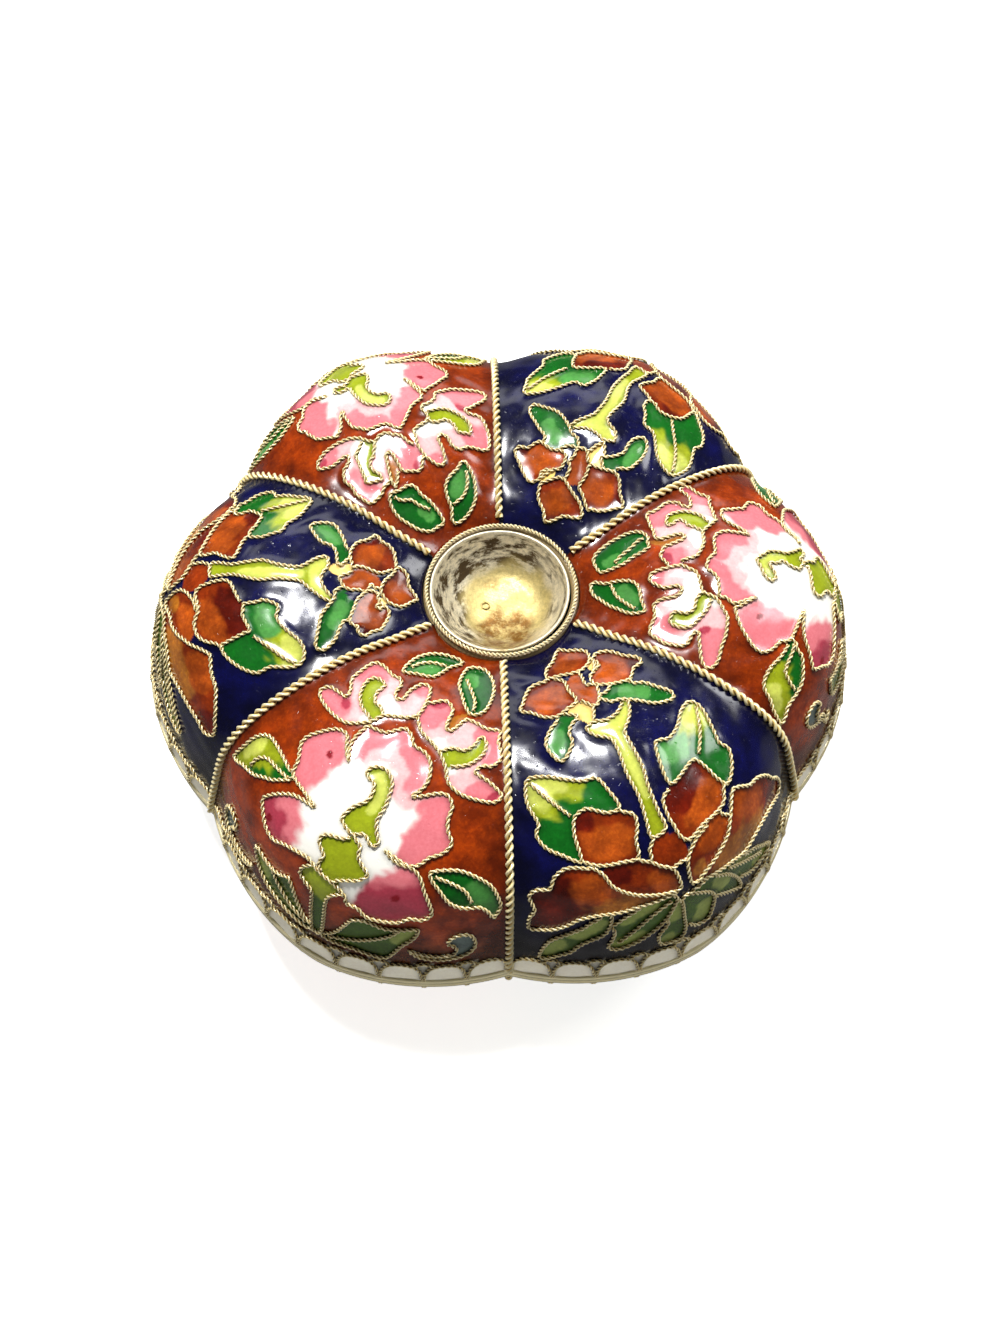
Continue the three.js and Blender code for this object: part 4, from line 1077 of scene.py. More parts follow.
def fired_surface_group():
    """Mottling, pits and long waves of a fired enamel surface."""
    name = "fired_surface"
    if name in bpy.data.node_groups:
        return bpy.data.node_groups[name]
    tree, given, made = group_tree(
        name,
        [("Colour", "NodeSocketColor", None), ("Depth", "NodeSocketFloat", 0.5)],
        [("Colour", "NodeSocketColor"), ("Roughness", "NodeSocketFloat"),
         ("Height", "NodeSocketFloat")])
    cloud = ramp(tree, noise(tree, 420.0, 6.0, 0.62), [(0.36, 0.0), (0.64, 1.0)])
    grain = ramp(tree, noise(tree, 2100.0, 4.0, 0.6), [(0.48, 0.0), (0.66, 1.0)])
    speck = ramp(tree, noise(tree, 2600.0, 3.0, 0.6), [(0.35, 0.0), (0.75, 1.0)])
    dark = mix_colour(tree, 1.0, given.outputs["Colour"], (0.52, 0.4, 0.38), "MULTIPLY")
    bright = mix_colour(tree, 1.0, given.outputs["Colour"], (1.4, 1.36, 1.15), "MULTIPLY")
    flake = mix_colour(tree, 1.0, given.outputs["Colour"], (1.75, 1.9, 1.4), "MULTIPLY")
    clouded = mix_colour(tree, cloud, dark, bright)
    scattered = maths(tree, "MULTIPLY", grain, cloud)
    flaked = mix_colour(tree, scattered, clouded, flake)
    depth = maths(tree, "MULTIPLY", given.outputs["Depth"], 0.75)
    coloured = mix_colour(tree, depth, given.outputs["Colour"], flaked)
    specked = mix_colour(tree, 0.12, coloured, speck, "OVERLAY")
    tree.links.new(specked, made.inputs["Colour"])
    rough = between(tree, noise(tree, 900.0), 0.11, 0.27)
    tree.links.new(rough, made.inputs["Roughness"])
    pits = ramp(tree, noise(tree, 1900.0, 2.0), [(0.24, 0.0), (0.34, 1.0)])
    shallow_pits = maths(tree, "MULTIPLY", pits, 0.3)
    height = maths(tree, "MULTIPLY_ADD", noise(tree, 260.0, 2.0), 0.9, shallow_pits)
    tree.links.new(height, made.inputs["Height"])
    return tree


def add_bump(material, shader, height, distance, strength):
    tree = material.node_tree
    bump = node(tree, "ShaderNodeBump", Strength=strength, Distance=distance)
    tree.links.new(height, bump.inputs["Height"])
    tree.links.new(bump.outputs["Normal"], shader.inputs["Normal"])


def enamel_material(slot):
    """Glossy fired enamel that takes its colour from the piece's own layer."""
    name = "fired_" + slot
    if name in bpy.data.materials:
        return bpy.data.materials[name]
    material, shader = new_material(name)
    tree = material.node_tree
    layer = node(tree, "ShaderNodeAttribute", attribute_name="enamel")
    group = node(tree, "ShaderNodeGroup", node_tree=fired_surface_group())
    tree.links.new(layer.outputs["Color"], group.inputs["Colour"])
    tree.links.new(layer.outputs["Alpha"], group.inputs["Depth"])
    tree.links.new(group.outputs["Colour"], shader.inputs["Base Color"])
    tree.links.new(group.outputs["Roughness"], shader.inputs["Roughness"])
    add_bump(material, shader, group.outputs["Height"], 0.00012, 0.6)
    shader.inputs["IOR"].default_value = 1.5
    shader.inputs["Coat Weight"].default_value = 0.15
    shader.inputs["Coat Roughness"].default_value = 0.12
    return material


def gilt_material(name, colours, pale_share=0.0, metallic=0.15):
    """Gilding with painted shade in the hollows between strands and a painted highlight on their tops.
    """
    if name in bpy.data.materials:
        return bpy.data.materials[name]
    material, shader = new_material(name)
    tree = material.node_tree
    layer = node(tree, "ShaderNodeAttribute", attribute_name="strand")
    # Painted shade in the hollows between the strands, and a painted highlight on their tops. The
    # lowest share of the pale colour lets it lie on the whole wire, partly for silvery metal and partly
    # as painted highlight.
    crevice_shade = ramp(tree, layer.outputs["Fac"], [(0.1, 0.0), (0.58, 1.0)])
    top_highlight = ramp(tree, layer.outputs["Fac"], [(0.5, pale_share), (0.85, 0.95)])
    cloud = ramp(tree, noise(tree, 700.0, 6.0, 0.6), [(0.32, 0.0), (0.62, 1.0)])
    worn = mix_colour(tree, cloud, tuple(0.86 * c for c in colours.gilt), tuple(colours.gilt))
    pale = mix_colour(tree, top_highlight, worn, tuple(colours.gilt_highlight))
    coloured = mix_colour(tree, crevice_shade, tuple(colours.gilt_shade), pale)
    tree.links.new(coloured, shader.inputs["Base Color"])
    shader.inputs["Metallic"].default_value = metallic
    shader.inputs["Coat Weight"].default_value = 1.0
    shader.inputs["Coat Roughness"].default_value = 0.17
    tree.links.new(between(tree, noise(tree, 1500.0), 0.22, 0.42), shader.inputs["Roughness"])
    add_bump(material, shader, noise(tree, 3200.0, 3.0), 0.00004, 0.5)
    return material


def cup_material(colours):
    """Rubbed silvery wall with dark streaks round it, over a floor that keeps its gold."""
    name = "rubbed_cup"
    if name in bpy.data.materials:
        return bpy.data.materials[name]
    material, shader = new_material(name)
    tree = material.node_tree
    layer = node(tree, "ShaderNodeAttribute", attribute_name="wear")
    parts = tree.nodes.new("ShaderNodeSeparateColor")
    tree.links.new(layer.outputs["Color"], parts.inputs["Color"])
    coordinate = tree.nodes.new("ShaderNodeTexCoord")
    squeezed = node(tree, "ShaderNodeMapping", Scale=(1.0, 1.0, 3.2))
    tree.links.new(coordinate.outputs["Object"], squeezed.inputs["Vector"])
    streaks = node(tree, "ShaderNodeTexNoise", Scale=400.0, Detail=7.0, Roughness=0.68)
    tree.links.new(squeezed.outputs["Vector"], streaks.inputs["Vector"])
    patches = ramp(tree, streaks.outputs["Fac"], [(0.44, 0.0), (0.55, 1.0)])
    fine = ramp(tree, noise(tree, 2300.0, 5.0, 0.7), [(0.36, 0.2), (0.6, 1.0)])
    wall = mix_colour(tree, patches, colours.tarnish, colours.worn_silver)
    # Bright silver at the rubbed lip, and on the right side of the wall, partly painted light
    wall = mix_colour(tree, parts.outputs["Blue"], wall, colours.worn_silver)
    wall = mix_colour(tree, 0.35, wall, fine, "MULTIPLY")
    flakes = ramp(tree, noise(tree, 800.0, 6.0, 0.7), [(0.36, 0.2), (0.56, 1.0)])
    old = maths(tree, "MULTIPLY", parts.outputs["Green"], flakes)
    gold = mix_colour(tree, old, colours.cup_gold, colours.old_gold)
    gold = mix_colour(tree, 0.35, gold, fine, "MULTIPLY")
    blend = mix_colour(tree, parts.outputs["Red"], wall, gold)
    tree.links.new(blend, shader.inputs["Base Color"])
    shader.inputs["Metallic"].default_value = 0.5
    tree.links.new(between(tree, patches, 0.6, 0.42), shader.inputs["Roughness"])
    add_bump(material, shader, noise(tree, 1400.0, 6.0, 0.65), 0.0001, 0.7)
    return material


def table_material(colour, glow, bounced, mirrored_share):
    """Pale matt table that glows a little, and stays dark in the reflections on the enamel."""
    material, shader = new_material("pale_table")
    tree = material.node_tree
    cloud = noise(tree, 6.0, 3.0)
    toned = mix_colour(tree, cloud, tuple(0.985 * c for c in colour), colour)
    path = tree.nodes.new("ShaderNodeLightPath")
    darker = mix_colour(tree, 1.0, toned, (mirrored_share,) * 3, "MULTIPLY")
    seen = mix_colour(tree, path.outputs["Is Glossy Ray"], toned, darker)
    tree.links.new(seen, shader.inputs["Base Color"])
    tree.links.new(toned, shader.inputs["Emission Color"])
    bounce = maths(tree, "MULTIPLY", path.outputs["Is Diffuse Ray"], bounced)
    strength = maths(tree, "MULTIPLY_ADD", path.outputs["Is Camera Ray"], glow, bounce)
    tree.links.new(strength, shader.inputs["Emission Strength"])
    shader.inputs["Roughness"].default_value = 0.6
    return material


# Operators

class ENAMELBOX_OT_stage(bpy.types.Operator):
    """Make the table, the lamps and the camera"""
    bl_idname = "enamelbox.stage"
    bl_label = "Table, lamps and camera"

    # Camera of the photograph, fitted to the outline and the grooves of the lid
    elevation = 63.12
    azimuth = -2.72
    roll = 1.37
    target = (-0.21, -6.01, 8.75)
    focal_pixels = 1353.65
    frame_height = 1333
    sensor = 36.0
    glow = 0.93
    bounced = 0.4
    mirrored_share = 0.1

    def execute(self, context):
        studio, colours = context.scene.enamel_studio, context.scene.enamel_colours
        self.add_table(colours)
        self.add_camera(context, studio)
        self.add_sky(context, studio)
        self.add_lamp("overhead_lamp", (-0.13, 0.28, 0.95), 0.8, (0.13, 0.13), studio.overhead)
        self.add_lamp("side_lamp", (0.62, 0.27, 0.73), 0.8, (0.26, 0.24), studio.side)
        self.add_lamp("back_lamp", (0.0, 0.84, 0.54), 0.9, (0.9, 0.22), studio.back)
        context.scene.view_settings.view_transform = "Standard"
        return {"FINISHED"}

    def add_table(self, colours):
        bpy.ops.mesh.primitive_plane_add(size=6.0, location=(0, 0, 0))
        table = bpy.context.active_object
        table.name = "table"
        table.data.materials.append(
            table_material(tuple(colours.table), self.glow, self.bounced, self.mirrored_share))

    def add_camera(self, context, studio):
        lift, turn, roll = (math.radians(v) for v in (self.elevation, self.azimuth, self.roll))
        flat = math.cos(lift)
        back = Vector((math.sin(turn) * flat, -math.cos(turn) * flat, math.sin(lift)))
        level = Vector((math.cos(turn), math.sin(turn), 0))
        upright = back.cross(level)
        right = level * math.cos(roll) + upright * math.sin(roll)
        up = upright * math.cos(roll) - level * math.sin(roll)
        target = (Vector(self.target) + Vector((0, 0, LID_BOTTOM))) * MM
        eye = target + back * studio.camera_distance
        data = bpy.data.cameras.new("camera")
        data.sensor_width = self.sensor
        data.lens = self.focal_pixels * self.sensor / self.frame_height
        data.clip_start = 0.005
        data.clip_end = 20.0
        camera = bpy.data.objects.new("camera", data)
        context.scene.collection.objects.link(camera)
        turned = Matrix((right, up, back)).transposed().to_4x4()
        camera.matrix_world = Matrix.Translation(eye) @ turned
        context.scene.camera = camera

    def add_sky(self, context, studio):
        world = bpy.data.worlds.new("pale_sky")
        world.use_nodes = True
        background = world.node_tree.nodes["Background"]
        background.inputs["Color"].default_value = (1.0, 1.0, 1.0, 1.0)
        background.inputs["Strength"].default_value = studio.sky
        context.scene.world = world

    def add_lamp(self, name, direction, distance, size, power):
        data = bpy.data.lights.new(name, "AREA")
        data.shape = "RECTANGLE"
        data.size, data.size_y = size
        data.energy = power
        lamp = bpy.data.objects.new(name, data)
        bpy.context.scene.collection.objects.link(lamp)
        away = Vector(direction).normalized()
        lamp.location = away * distance
        lamp.rotation_mode = "QUATERNION"
        lamp.rotation_quaternion = away.to_track_quat("Z", "Y")


class ENAMELBOX_OT_lid_panels(bpy.types.Operator):
    """Make the enamel of the lid's six lobes"""
    bl_idname = "enamelbox.lid_panels"
    bl_label = "Enamel of the lid"

    rows, columns, coarse = 193, 193, 8
    thickness = 0.85
    climb_reach = 0.3
    halo_reach = 0.42
    halo_shade = 0.45

    def execute(self, context):
        sizes, colours = context.scene.enamel_sizes, context.scene.enamel_colours
        scales = Scales(sizes)
        for name, degrees, flower in PANELS:
            cells, ground = flower_on(name, flower), DESIGNS[flower][1]
            field = self.field(cells, ground, scales, sizes, colours)
            piece = self.panel(name, degrees, field, SLOT_OF_DESIGN[flower])
            place(piece, SLOT_OF_DESIGN[flower], "lid")
        return {"FINISHED"}

    def field(self, cells, ground, scales, sizes, colours):
        """Place, colour, clearness and sink of the enamel on the flat grid of one lobe."""
        up, share = np.meshgrid(
            np.linspace(0, LID_LENGTH, self.rows), np.linspace(-1, 1, self.columns), indexing="ij")
        share, y = share.ravel(), up.ravel()
        x = share * half_panel(y)
        colour, clear = paint(cells, ground, scales, colours, share, x, y)
        lines = [line for line, _ in panel_wires(cells, scales, sizes.cell_wire / MM * 0.7)]
        away = nearest_of(np.vstack(lines), np.stack([x, y], 1))[1]
        edge = half_panel(y) - np.abs(x)
        climb = sizes.meniscus / MM * np.exp(-away / self.climb_reach)
        climb += sizes.fillet / MM * np.exp(-edge / (sizes.fillet_reach / MM)) * smooth_step(y / 3)
        waves = sizes.wave / MM * ripple(x, y, 4.5, 3)
        waves = waves * smooth_step(away / 1.2) * smooth_step(edge / 2)
        sink = sizes.enamel_sink / MM * 0.75 - climb + waves
        # Painted shade along every wire and groove edge, partly also the thicker enamel at the wires
        away = np.minimum(away, edge)
        shade = 1 - self.halo_shade * np.exp(-(away / self.halo_reach) ** 2)
        return x, y, colour * shade[:, None], clear, sink

    def panel(self, name, degrees, field, slot):
        x, y, colour, clear, sink = field
        crown = math.radians(degrees)
        theta = crown + x / half_panel(y) * LOBE_TURN / 2
        inner_theta = np.clip(theta, crown - LOBE_TURN / 2 + 1e-4, crown + LOBE_TURN / 2 - 1e-4)
        normal = normals_of(lid_surface, inner_theta, np.clip(y, 0.06, LID_LENGTH - 0.06))
        surface = lid_surface(theta, y)
        outer = surface - normal * sink[:, None]
        inner = surface - normal * self.thickness
        layers = {"enamel": np.hstack([colour, clear[:, None]])}
        return closed_skin(name, outer, inner, self.rows, self.columns, self.coarse,
                           enamel_material(slot), layers)


class ENAMELBOX_OT_cell_wires(bpy.types.Operator):
    """Make the twisted wires between the cells of the lid"""
    bl_idname = "enamelbox.cell_wires"
    bl_label = "Cell wires of the lid"

    widest = 0.985
    sunk_share = 0.35

    def execute(self, context):
        sizes, colours = context.scene.enamel_sizes, context.scene.enamel_colours
        scales = Scales(sizes)
        radius, twist = sizes.cell_wire / MM, sizes.cell_twist / MM
        material = gilt_material("wire_gilt", colours)
        for name, degrees, flower in PANELS:
            bundle = WireBundle()
            for line, closed in panel_wires(flower_on(name, flower), scales, twist / 8):
                x, y = line[:, 0], np.clip(line[:, 1], 0.1, LID_LENGTH - 0.3)
                across = np.clip(x / half_panel(y), -self.widest, self.widest)
                theta = math.radians(degrees) + across * LOBE_TURN / 2
                normal = normals_of(lid_surface, theta, y)
                path = lid_surface(theta, y) - normal * radius * self.sunk_share
                bundle.add(path, normal, radius, twist, closed=closed)
            place(bundle.build(name.replace("panel", "wires"), material), "gilt", "lid")
        return {"FINISHED"}


class ENAMELBOX_OT_groove_ropes(bpy.types.Operator):
    """Make the twisted rope in each groove of the lid"""
    bl_idname = "enamelbox.groove_ropes"
    bl_label = "Ropes in the grooves"

    rise = 0.3

    def execute(self, context):
        sizes, colours = context.scene.enamel_sizes, context.scene.enamel_colours
        radius, twist = sizes.rope_wire / MM, sizes.rope_twist / MM
        material = gilt_material("wire_gilt", colours)
        up = np.linspace(0.5, LID_LENGTH - 0.9, 330)
        for i in range(LOBES):
            angle = (i + 0.5) * LOBE_TURN
            path = lid_surface(np.full(up.shape, angle), up)
            normal = section_normals(path, angle)
            bundle = WireBundle()
            bundle.add(path + normal * self.rise, normal, radius, twist, sides=16, start=0.7 * i)
            place(bundle.build(f"groove_rope_{i + 1}", material), "gilt", f"groove_wire_{i + 1}")
        return {"FINISHED"}


class ENAMELBOX_OT_crown_cup(bpy.types.Operator):
    """Make the open cup in the crown and the twisted ring round it"""
    bl_idname = "enamelbox.crown_cup"
    bl_label = "Cup in the crown"

    sides = 128
    mark_radius = 0.45
    mark_thickness = 0.09
    mark_place = (-2.2, 0.2)
    ring_share = 0.76
    ring_twist_share = 0.75
    ring_steps = 520
    seat_shade = 0.2

    def profile(self):
        """Radius and height from the middle of the floor, over the lip, to the underside."""
        top, bottom = CUP_HIGH[2], CUP_LOW[2]
        lip = CUP_HIGH[0]
        floor = bottom + 0.3
        upper = spline([
            (0.4, floor), (2.4, floor + 0.04), (4.0, floor + 0.24), (5.2, floor + 0.8),
            (6.1, floor + 1.6), (6.9, floor + 2.6), (7.5, floor + 3.5), (7.85, top - 0.3),
            (8.0, top - 0.06), (8.14, top), (lip - 0.03, top - 0.07), (lip, top - 0.25),
        ], per_span=4)
        lower = [
            (lip - 0.1, top - 0.6), (7.9, top - 0.9), (6.5, bottom + 1.2), (5.2, bottom), (0.4, bottom),
        ]
        return np.vstack([upper, lower])

    def execute(self, context):
        sizes, colours = context.scene.enamel_sizes, context.scene.enamel_colours
        cup = self.turn_cup()
        self.add_mark(cup)
        self.wear(cup)
        cup.name = "open_cup"
        cup.data.materials.clear()
        cup.data.materials.append(cup_material(colours))
        place(cup, "worn_gilt", "crown_cup")
        self.add_ring(sizes, colours)
        return {"FINISHED"}

    def turn_cup(self):
        """The cup, drawn out ring by ring from a small disc."""
        profile = self.profile() * MM
        bpy.ops.object.select_all(action="DESELECT")
        bpy.ops.mesh.primitive_circle_add(
            vertices=self.sides, radius=profile[0][0], fill_type="TRIFAN", location=(0, 0, 0))
        cup = bpy.context.active_object
        cup.data.transform(Matrix.Translation((0, 0, profile[0][1])))
        bpy.ops.object.mode_set(mode="EDIT")
        bpy.ops.mesh.select_all(action="SELECT")
        bpy.ops.mesh.region_to_loop()
        for (r0, z0), (r1, z1) in zip(profile, profile[1:]):
            bpy.ops.mesh.extrude_edges_move(TRANSFORM_OT_translate={"value": (0, 0, z1 - z0)})
            size = r1 / r0
            bpy.ops.transform.resize(value=(size, size, 1), center_override=(0, 0, z1))
        bpy.ops.mesh.edge_face_add()
        bpy.ops.mesh.select_all(action="SELECT")
        bpy.ops.mesh.normals_make_consistent(inside=False)
        bpy.ops.object.mode_set(mode="OBJECT")
        bpy.ops.object.shade_smooth()
        return cup

    def add_mark(self, cup):
        """A small raised circle on the floor."""
        floor = CUP_LOW[2] + 0.5
        bpy.ops.object.select_all(action="DESELECT")
        bpy.ops.mesh.primitive_torus_add(
            major_radius=self.mark_radius * MM, minor_radius=self.mark_thickness * MM,
            major_segments=24, minor_segments=8,
            location=(self.mark_place[0] * MM, self.mark_place[1] * MM, (floor + 0.03) * MM))
        bpy.ops.object.shade_smooth()
        cup.select_set(True)
        bpy.context.view_layer.objects.active = cup
        bpy.ops.object.join()

    def wear(self, cup):
        """Pushes the bowl of the cup off centre, dents it, and marks where the gold is left and where
        the wall is bright silver, partly painted light.
        """
        mesh = cup.data
        points = np.empty(len(mesh.vertices) * 3)
        mesh.vertices.foreach_get("co", points)
        points = points.reshape(-1, 3) / MM
        depth = np.clip((CUP_HIGH[2] - points[:, 2]) / 4.2, 0, 1)
        angle = np.arctan2(points[:, 1], points[:, 0])
        radius = np.hypot(points[:, 0], points[:, 1])
        dent = 0.1 * np.sin(3 * angle + 0.6) + 0.06 * np.sin(7 * angle) + 0.04 * np.sin(13 * angle + 2)
        grow = 1 + dent * np.sin(depth * math.pi) / 8
        points[:, 0] = points[:, 0] * grow + 0.55 * depth - 0.2
        points[:, 1] = points[:, 1] * grow - 0.12
        points[:, 2] += 0.05 * np.sin(points[:, 0] * 1.3) * np.sin(points[:, 1] * 1.1) * (radius < 5.5)
        mesh.vertices.foreach_set("co", (points * MM).ravel())
        x, y = points[:, 0] - 0.45, points[:, 1]
        uneven = 0.5 * ripple(x, y, 3.0, 5)
        gold = smooth_step((6.4 - np.hypot(x - 0.4, y) + uneven) / 1.8)
        gold = gold * smooth_step((depth - 0.45) / 0.3)
        front = smooth_step((3.3 - np.hypot((x - 0.1) * 0.75, (y + 4.4) * 0.7) + uneven) / 1.2)
        back = smooth_step((1.5 - np.hypot(x + 2.0, (y - 2.8) * 1.2) + uneven) / 1.0)
        gold = np.maximum(gold, 0.85 * front)
        # The right side of the wall is kept bright silver without tarnish, partly rubbed silver and
        # partly painted light where the lamp falls
        right = smooth_step((x - 0.5 * y) / 6.0) * smooth_step((depth - 0.1) / 0.2)
        bare_and_lit = smooth_step((0.1 - depth) / 0.06) + 1.1 * right * smooth_step(0.75 + uneven)
        old = np.clip(front + 0.6 * back, 0, 1)
        add_layer(mesh, "wear", np.stack([gold, old, np.clip(bare_and_lit, 0, 1)], 1))
        mesh.update()

    def add_ring(self, sizes, colours):
        """The fine twisted ring, a little askew round the cup."""
        radius = (RING_HIGH[2] - RING_LOW[2]) / 2 * self.ring_share
        middle = (CUP_HIGH[0] + 0.2 + SEAT_RADIUS) / 2
        turn = np.linspace(0, 2 * math.pi, self.ring_steps, endpoint=False)
        height = (RING_LOW[2] + RING_HIGH[2]) / 2
        path = np.stack([middle * np.cos(turn), middle * np.sin(turn), np.full(turn.shape, height)], 1)
        normal = np.tile((0.0, 0.0, 1.0), (len(turn), 1))
        bundle = WireBundle()
        twist = sizes.cell_twist / MM * self.ring_twist_share
        bundle.add(path, normal, radius, twist, sides=12, closed=True)
        # The ring is paler, partly silvery metal and partly painted highlight
        material = gilt_material("ring_gilt", colours, pale_share=0.6)
        place(bundle.build("cup_ring", material), "gilt", "cup_ring_wire")
        top = LID_BOTTOM + SEAT_HEIGHT
        inner, outer = CUP_HIGH[0] + 0.06, SEAT_RADIUS + 0.08

        def seat_line(_):
            return [(inner, top - 1.2), (outer, top - 1.2), (outer, top - 0.35),
                    (outer - 0.2, top - 0.2), (inner, top - 0.2)]

        seat = lobed_solid("cup_seat", seat_line, 180, material)
        # Painted shade: the seat takes the dark colour of the wires' hollows, for the dark gap between
        # cup and ring
        add_layer(seat.data, "strand", np.full((len(seat.data.vertices), 4), self.seat_shade))
        place(seat, "gilt", "lid")


def lobed_solid(name, section_at, turns, material, capped=False):
    """A ring whose section is given at each angle as a list of (radius, height).

    It closes on itself, or, where it is capped, its first and last rows are closed each by a face.
    """
    angles = np.arange(turns) / turns * 2 * math.pi
    lines = np.array([section_at(angle) for angle in angles])
    around, rows = lines.shape[:2]
    radius, height = lines[..., 0], lines[..., 1]
    x, y = radius * np.cos(angles)[:, None], radius * np.sin(angles)[:, None]
    points = np.stack([x, y, height], -1).transpose(1, 0, 2).reshape(-1, 3)
    faces = grid_faces(rows, around, wrap=True)
    last = (rows - 1) * around
    if capped:
        faces += [list(range(around))[::-1], [last + j for j in range(around)]]
    else:
        faces += [[last + j, last + (j + 1) % around, (j + 1) % around, j] for j in range(around)]
    return add_mesh(name, points, faces, material)


def soften(piece, width):
    """Rounds the sharp edges of a piece."""
    bpy.ops.object.select_all(action="DESELECT")
    piece.select_set(True)
    bpy.context.view_layer.objects.active = piece
    bpy.ops.object.modifier_add(type="BEVEL")
    bevel = piece.modifiers[-1]
    bevel.width = width * MM
    bevel.segments = 2
    bevel.limit_method = "ANGLE"
    bevel.angle_limit = math.radians(40)
    bpy.ops.object.modifier_apply(modifier=bevel.name)
    bpy.ops.object.shade_smooth_by_angle(angle=math.radians(35))


class ENAMELBOX_OT_bands(bpy.types.Operator):
    """Make the gilt bands of the lid and the bowl"""
    bl_idname = "enamelbox.bands"
    bl_label = "Gilt bands"

    turns = 432
    edge_rounding = 0.12
    edge_slope = 0.3
    edge_bevel = 0.18

    def execute(self, context):
        colours = context.scene.enamel_colours
        material = gilt_material("band_gilt", colours, pale_share=0.5, metallic=0.3)
        lid_low, lid_top = LID_BAND_LOW[2], LID_BAND_HIGH[2]
        lip_top, low = BOWL_BAND_HIGH[2], BOWL_BAND_LOW[2]
        joint = JOINT_HEIGHT - SOLDER_GAP

        def lid_line(angle):
            outer = band_radius(angle)
            inner, flat = outer - LID_BAND_WIDTH, outer - self.edge_bevel
            return [(inner, lid_low), (flat, lid_low), (outer, lid_low + self.edge_slope),
                    (outer, lid_top - self.edge_slope), (flat, lid_top), (inner, lid_top)]

        def bowl_line(angle):
            outer = band_radius(angle)
            flat, lip = outer - self.edge_bevel, outer - LIP_REACH
            return [(lip - LIP_THICKNESS, low), (flat, low), (outer, low + self.edge_slope),
                    (outer, joint - self.edge_slope), (flat, joint), (lip, joint), (lip, lip_top),
                    (lip - LIP_THICKNESS, lip_top)]

        bands = (("lid_rim", lid_line, "lid_band"), ("bowl_rim", bowl_line, "bowl_band"))
        for name, line, replaced in bands:
            rim = lobed_solid(name, line, self.turns, material)
            soften(rim, self.edge_rounding)
            # A band has no hollows between strands, so it takes the pale painted-highlight colour all
            # over, without painted shade
            add_layer(rim.data, "strand", np.ones((len(rim.data.vertices), 4)))
            place(rim, "gilt", replaced)
        return {"FINISHED"}


class ENAMELBOX_OT_lining(bpy.types.Operator):
    """Make the plain enamel inside the lid"""
    bl_idname = "enamelbox.lining"
    bl_label = "Lining of the lid"

    turns = 192
    outer_depth = 0.9

    def execute(self, context):
        colours = context.scene.enamel_colours
        spots = np.linspace(0.3, LID_LENGTH - 0.2, 44)

        def line(angle):
            theta = np.full(spots.shape, angle)
            surface = lid_surface(theta, spots)
            normal = section_normals(surface, angle)
            outer, inner = surface - normal * self.outer_depth, surface - normal * WALL
            near = np.vstack([outer, inner[::-1]])
            return list(zip(np.hypot(near[:, 0], near[:, 1]), near[:, 2]))

        piece = lobed_solid("lid_lining", line, self.turns, enamel_material("lining_enamel"))
        colour = np.tile((*colours.lining, LINING_CLEARNESS), (len(piece.data.vertices), 1))
        add_layer(piece.data, "enamel", colour)
        place(piece, "lining_enamel", "lid")
        return {"FINISHED"}


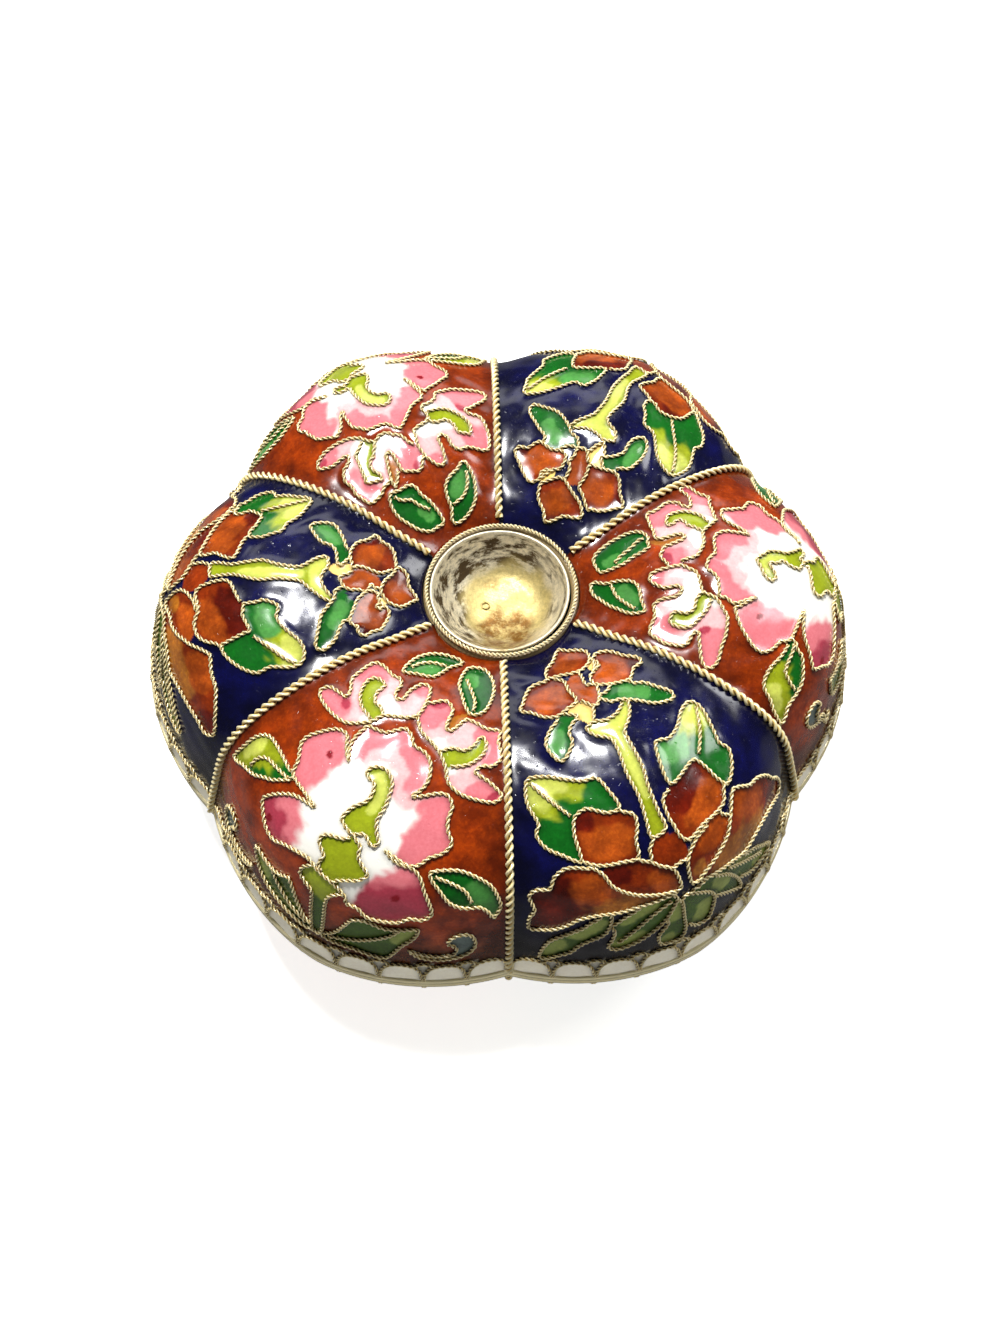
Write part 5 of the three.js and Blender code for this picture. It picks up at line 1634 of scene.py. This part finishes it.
class ENAMELBOX_OT_bowl(bpy.types.Operator):
    """Make the plainer enamelled bowl with its border and ropes"""
    bl_idname = "enamelbox.bowl"
    bl_label = "Bowl"

    turns = 432
    rows = 60
    pole = 0.02
    rope_rise = 0.05
    sunk_share = 0.6

    def execute(self, context):
        sizes, colours = context.scene.enamel_sizes, context.scene.enamel_colours
        piece = self.add_bowl(sizes, colours)
        place(piece, "blue_enamel", "bowl")
        place(self.add_wires(sizes, colours), "gilt")
        return {"FINISHED"}

    def section(self, angle):
        up = np.linspace(0, BOWL_LENGTH, self.rows)
        theta = np.full(up.shape, angle)
        surface = bowl_surface(theta, up)
        normal = section_normals(surface, angle)
        sunk = 0.22 * smooth_step(up / 2.5)
        outer = surface - normal * sunk[:, None]
        outer[:, 2] = np.maximum(outer[:, 2], 0)
        inner = (surface - normal * WALL)[::3][::-1]
        foot = RECESS_RADIUS + WALL
        line = [(self.pole, RECESS_DEPTH), (RECESS_RADIUS - 0.3, RECESS_DEPTH),
                (RECESS_RADIUS, RECESS_DEPTH - 0.3), (RECESS_RADIUS, 0.3), (RECESS_RADIUS + 0.3, 0.0)]
        line += list(zip(np.hypot(outer[:, 0], outer[:, 1]), outer[:, 2]))
        line += list(zip(np.hypot(inner[:, 0], inner[:, 1]), inner[:, 2]))
        line += [(foot, WALL), (foot, RECESS_DEPTH + WALL), (self.pole, RECESS_DEPTH + WALL)]
        return line

    def add_bowl(self, sizes, colours):
        start = 5
        material = enamel_material("blue_enamel")
        piece = lobed_solid("enamelled_bowl", self.section, self.turns, material, capped=True)
        rows = len(piece.data.vertices) // self.turns
        angles = np.arange(self.turns) / self.turns * 2 * math.pi
        colour = np.tile((*colours.lining, LINING_CLEARNESS), (rows, self.turns, 1))
        lobe = np.round(angles / LOBE_TURN).astype(int) % LOBES
        share = (angles / LOBE_TURN - np.round(angles / LOBE_TURN)) * 2
        grounds = np.where((lobe % 2 == 0)[:, None], np.array(colours.rust), np.array(colours.navy))
        scales = Scales(sizes)
        for k, up in enumerate(np.linspace(0, BOWL_LENGTH, self.rows)):
            colour[start + k, :, :3] = grounds
            colour[start + k, :, 3] = 1.0
            low, high = scales.cover(share, np.full(share.shape, BOWL_LENGTH - up))
            colour[start + k, low, :3] = colours.cream
            # Painted shade on the second row of scales
            colour[start + k, high, :3] = np.array(colours.cream) * SECOND_ROW_SHADE
            colour[start + k, low | high, 3] = SCALE_CLEARNESS
        add_layer(piece.data, "enamel", colour.reshape(-1, 4))
        return piece

    def add_wires(self, sizes, colours):
        material = gilt_material("wire_gilt", colours)
        radius, twist = sizes.cell_wire / MM, sizes.cell_twist / MM
        bundle = WireBundle()
        for i in range(LOBES):
            for arch in Scales(sizes).arches():
                wide = arch * (HALF_WIDTH * LOBE_TURN / 2, 1.0)
                line = even(wide, twist / 8)
                theta = i * LOBE_TURN + line[:, 0] / HALF_WIDTH
                up = BOWL_LENGTH - np.clip(line[:, 1], 0.1, None)
                normal = normals_of(bowl_surface, theta, up)
                path = bowl_surface(theta, up) - normal * radius * self.sunk_share
                bundle.add(path, normal, radius, twist)
            angle = (i + 0.5) * LOBE_TURN
            up = np.linspace(3.0, BOWL_LENGTH - 0.6, 200)
            path = bowl_surface(np.full(up.shape, angle), up)
            normal = section_normals(path, angle)
            rope = path + normal * self.rope_rise
            bundle.add(rope, normal, sizes.rope_wire / MM, sizes.rope_twist / MM, sides=12)
        return bundle.build("bowl_wires", material)


class ENAMELBOX_PT_panel(bpy.types.Panel):
    """Lists the steps that make the box"""
    bl_idname = "ENAMELBOX_PT_panel"
    bl_label = "Enamel Box"
    bl_space_type = "VIEW_3D"
    bl_region_type = "UI"
    bl_category = "Enamel Box"

    def draw(self, context):
        for name, group in GROUPS.items():
            column = self.layout.column()
            for key in group.__annotations__:
                column.prop(getattr(context.scene, name), key)
        for step in STEPS:
            self.layout.operator(step.bl_idname)


GROUPS = {
    "enamel_sizes": EnamelBoxSizes,
    "enamel_colours": EnamelBoxColours,
    "enamel_studio": EnamelBoxStudio,
}
STEPS = (
    ENAMELBOX_OT_stage, ENAMELBOX_OT_lid_panels, ENAMELBOX_OT_cell_wires, ENAMELBOX_OT_groove_ropes,
    ENAMELBOX_OT_crown_cup, ENAMELBOX_OT_bands, ENAMELBOX_OT_lining, ENAMELBOX_OT_bowl,
)


def register():
    for made in (*GROUPS.values(), *STEPS, ENAMELBOX_PT_panel):
        bpy.utils.register_class(made)
    for key, group in GROUPS.items():
        setattr(bpy.types.Scene, key, bpy.props.PointerProperty(type=group))


def unregister():
    for key in GROUPS:
        delattr(bpy.types.Scene, key)
    for made in (ENAMELBOX_PT_panel, *STEPS[::-1], *GROUPS.values()):
        bpy.utils.unregister_class(made)


def main():
    register()
    bpy.ops.object.select_all(action="DESELECT")
    bpy.ops.enamelbox.stage()
    bpy.ops.enamelbox.lid_panels()
    bpy.ops.enamelbox.cell_wires()
    bpy.ops.enamelbox.groove_ropes()
    bpy.ops.enamelbox.crown_cup()
    bpy.ops.enamelbox.bands()
    bpy.ops.enamelbox.lining()
    bpy.ops.enamelbox.bowl()


if __name__ == "__main__":
    main()
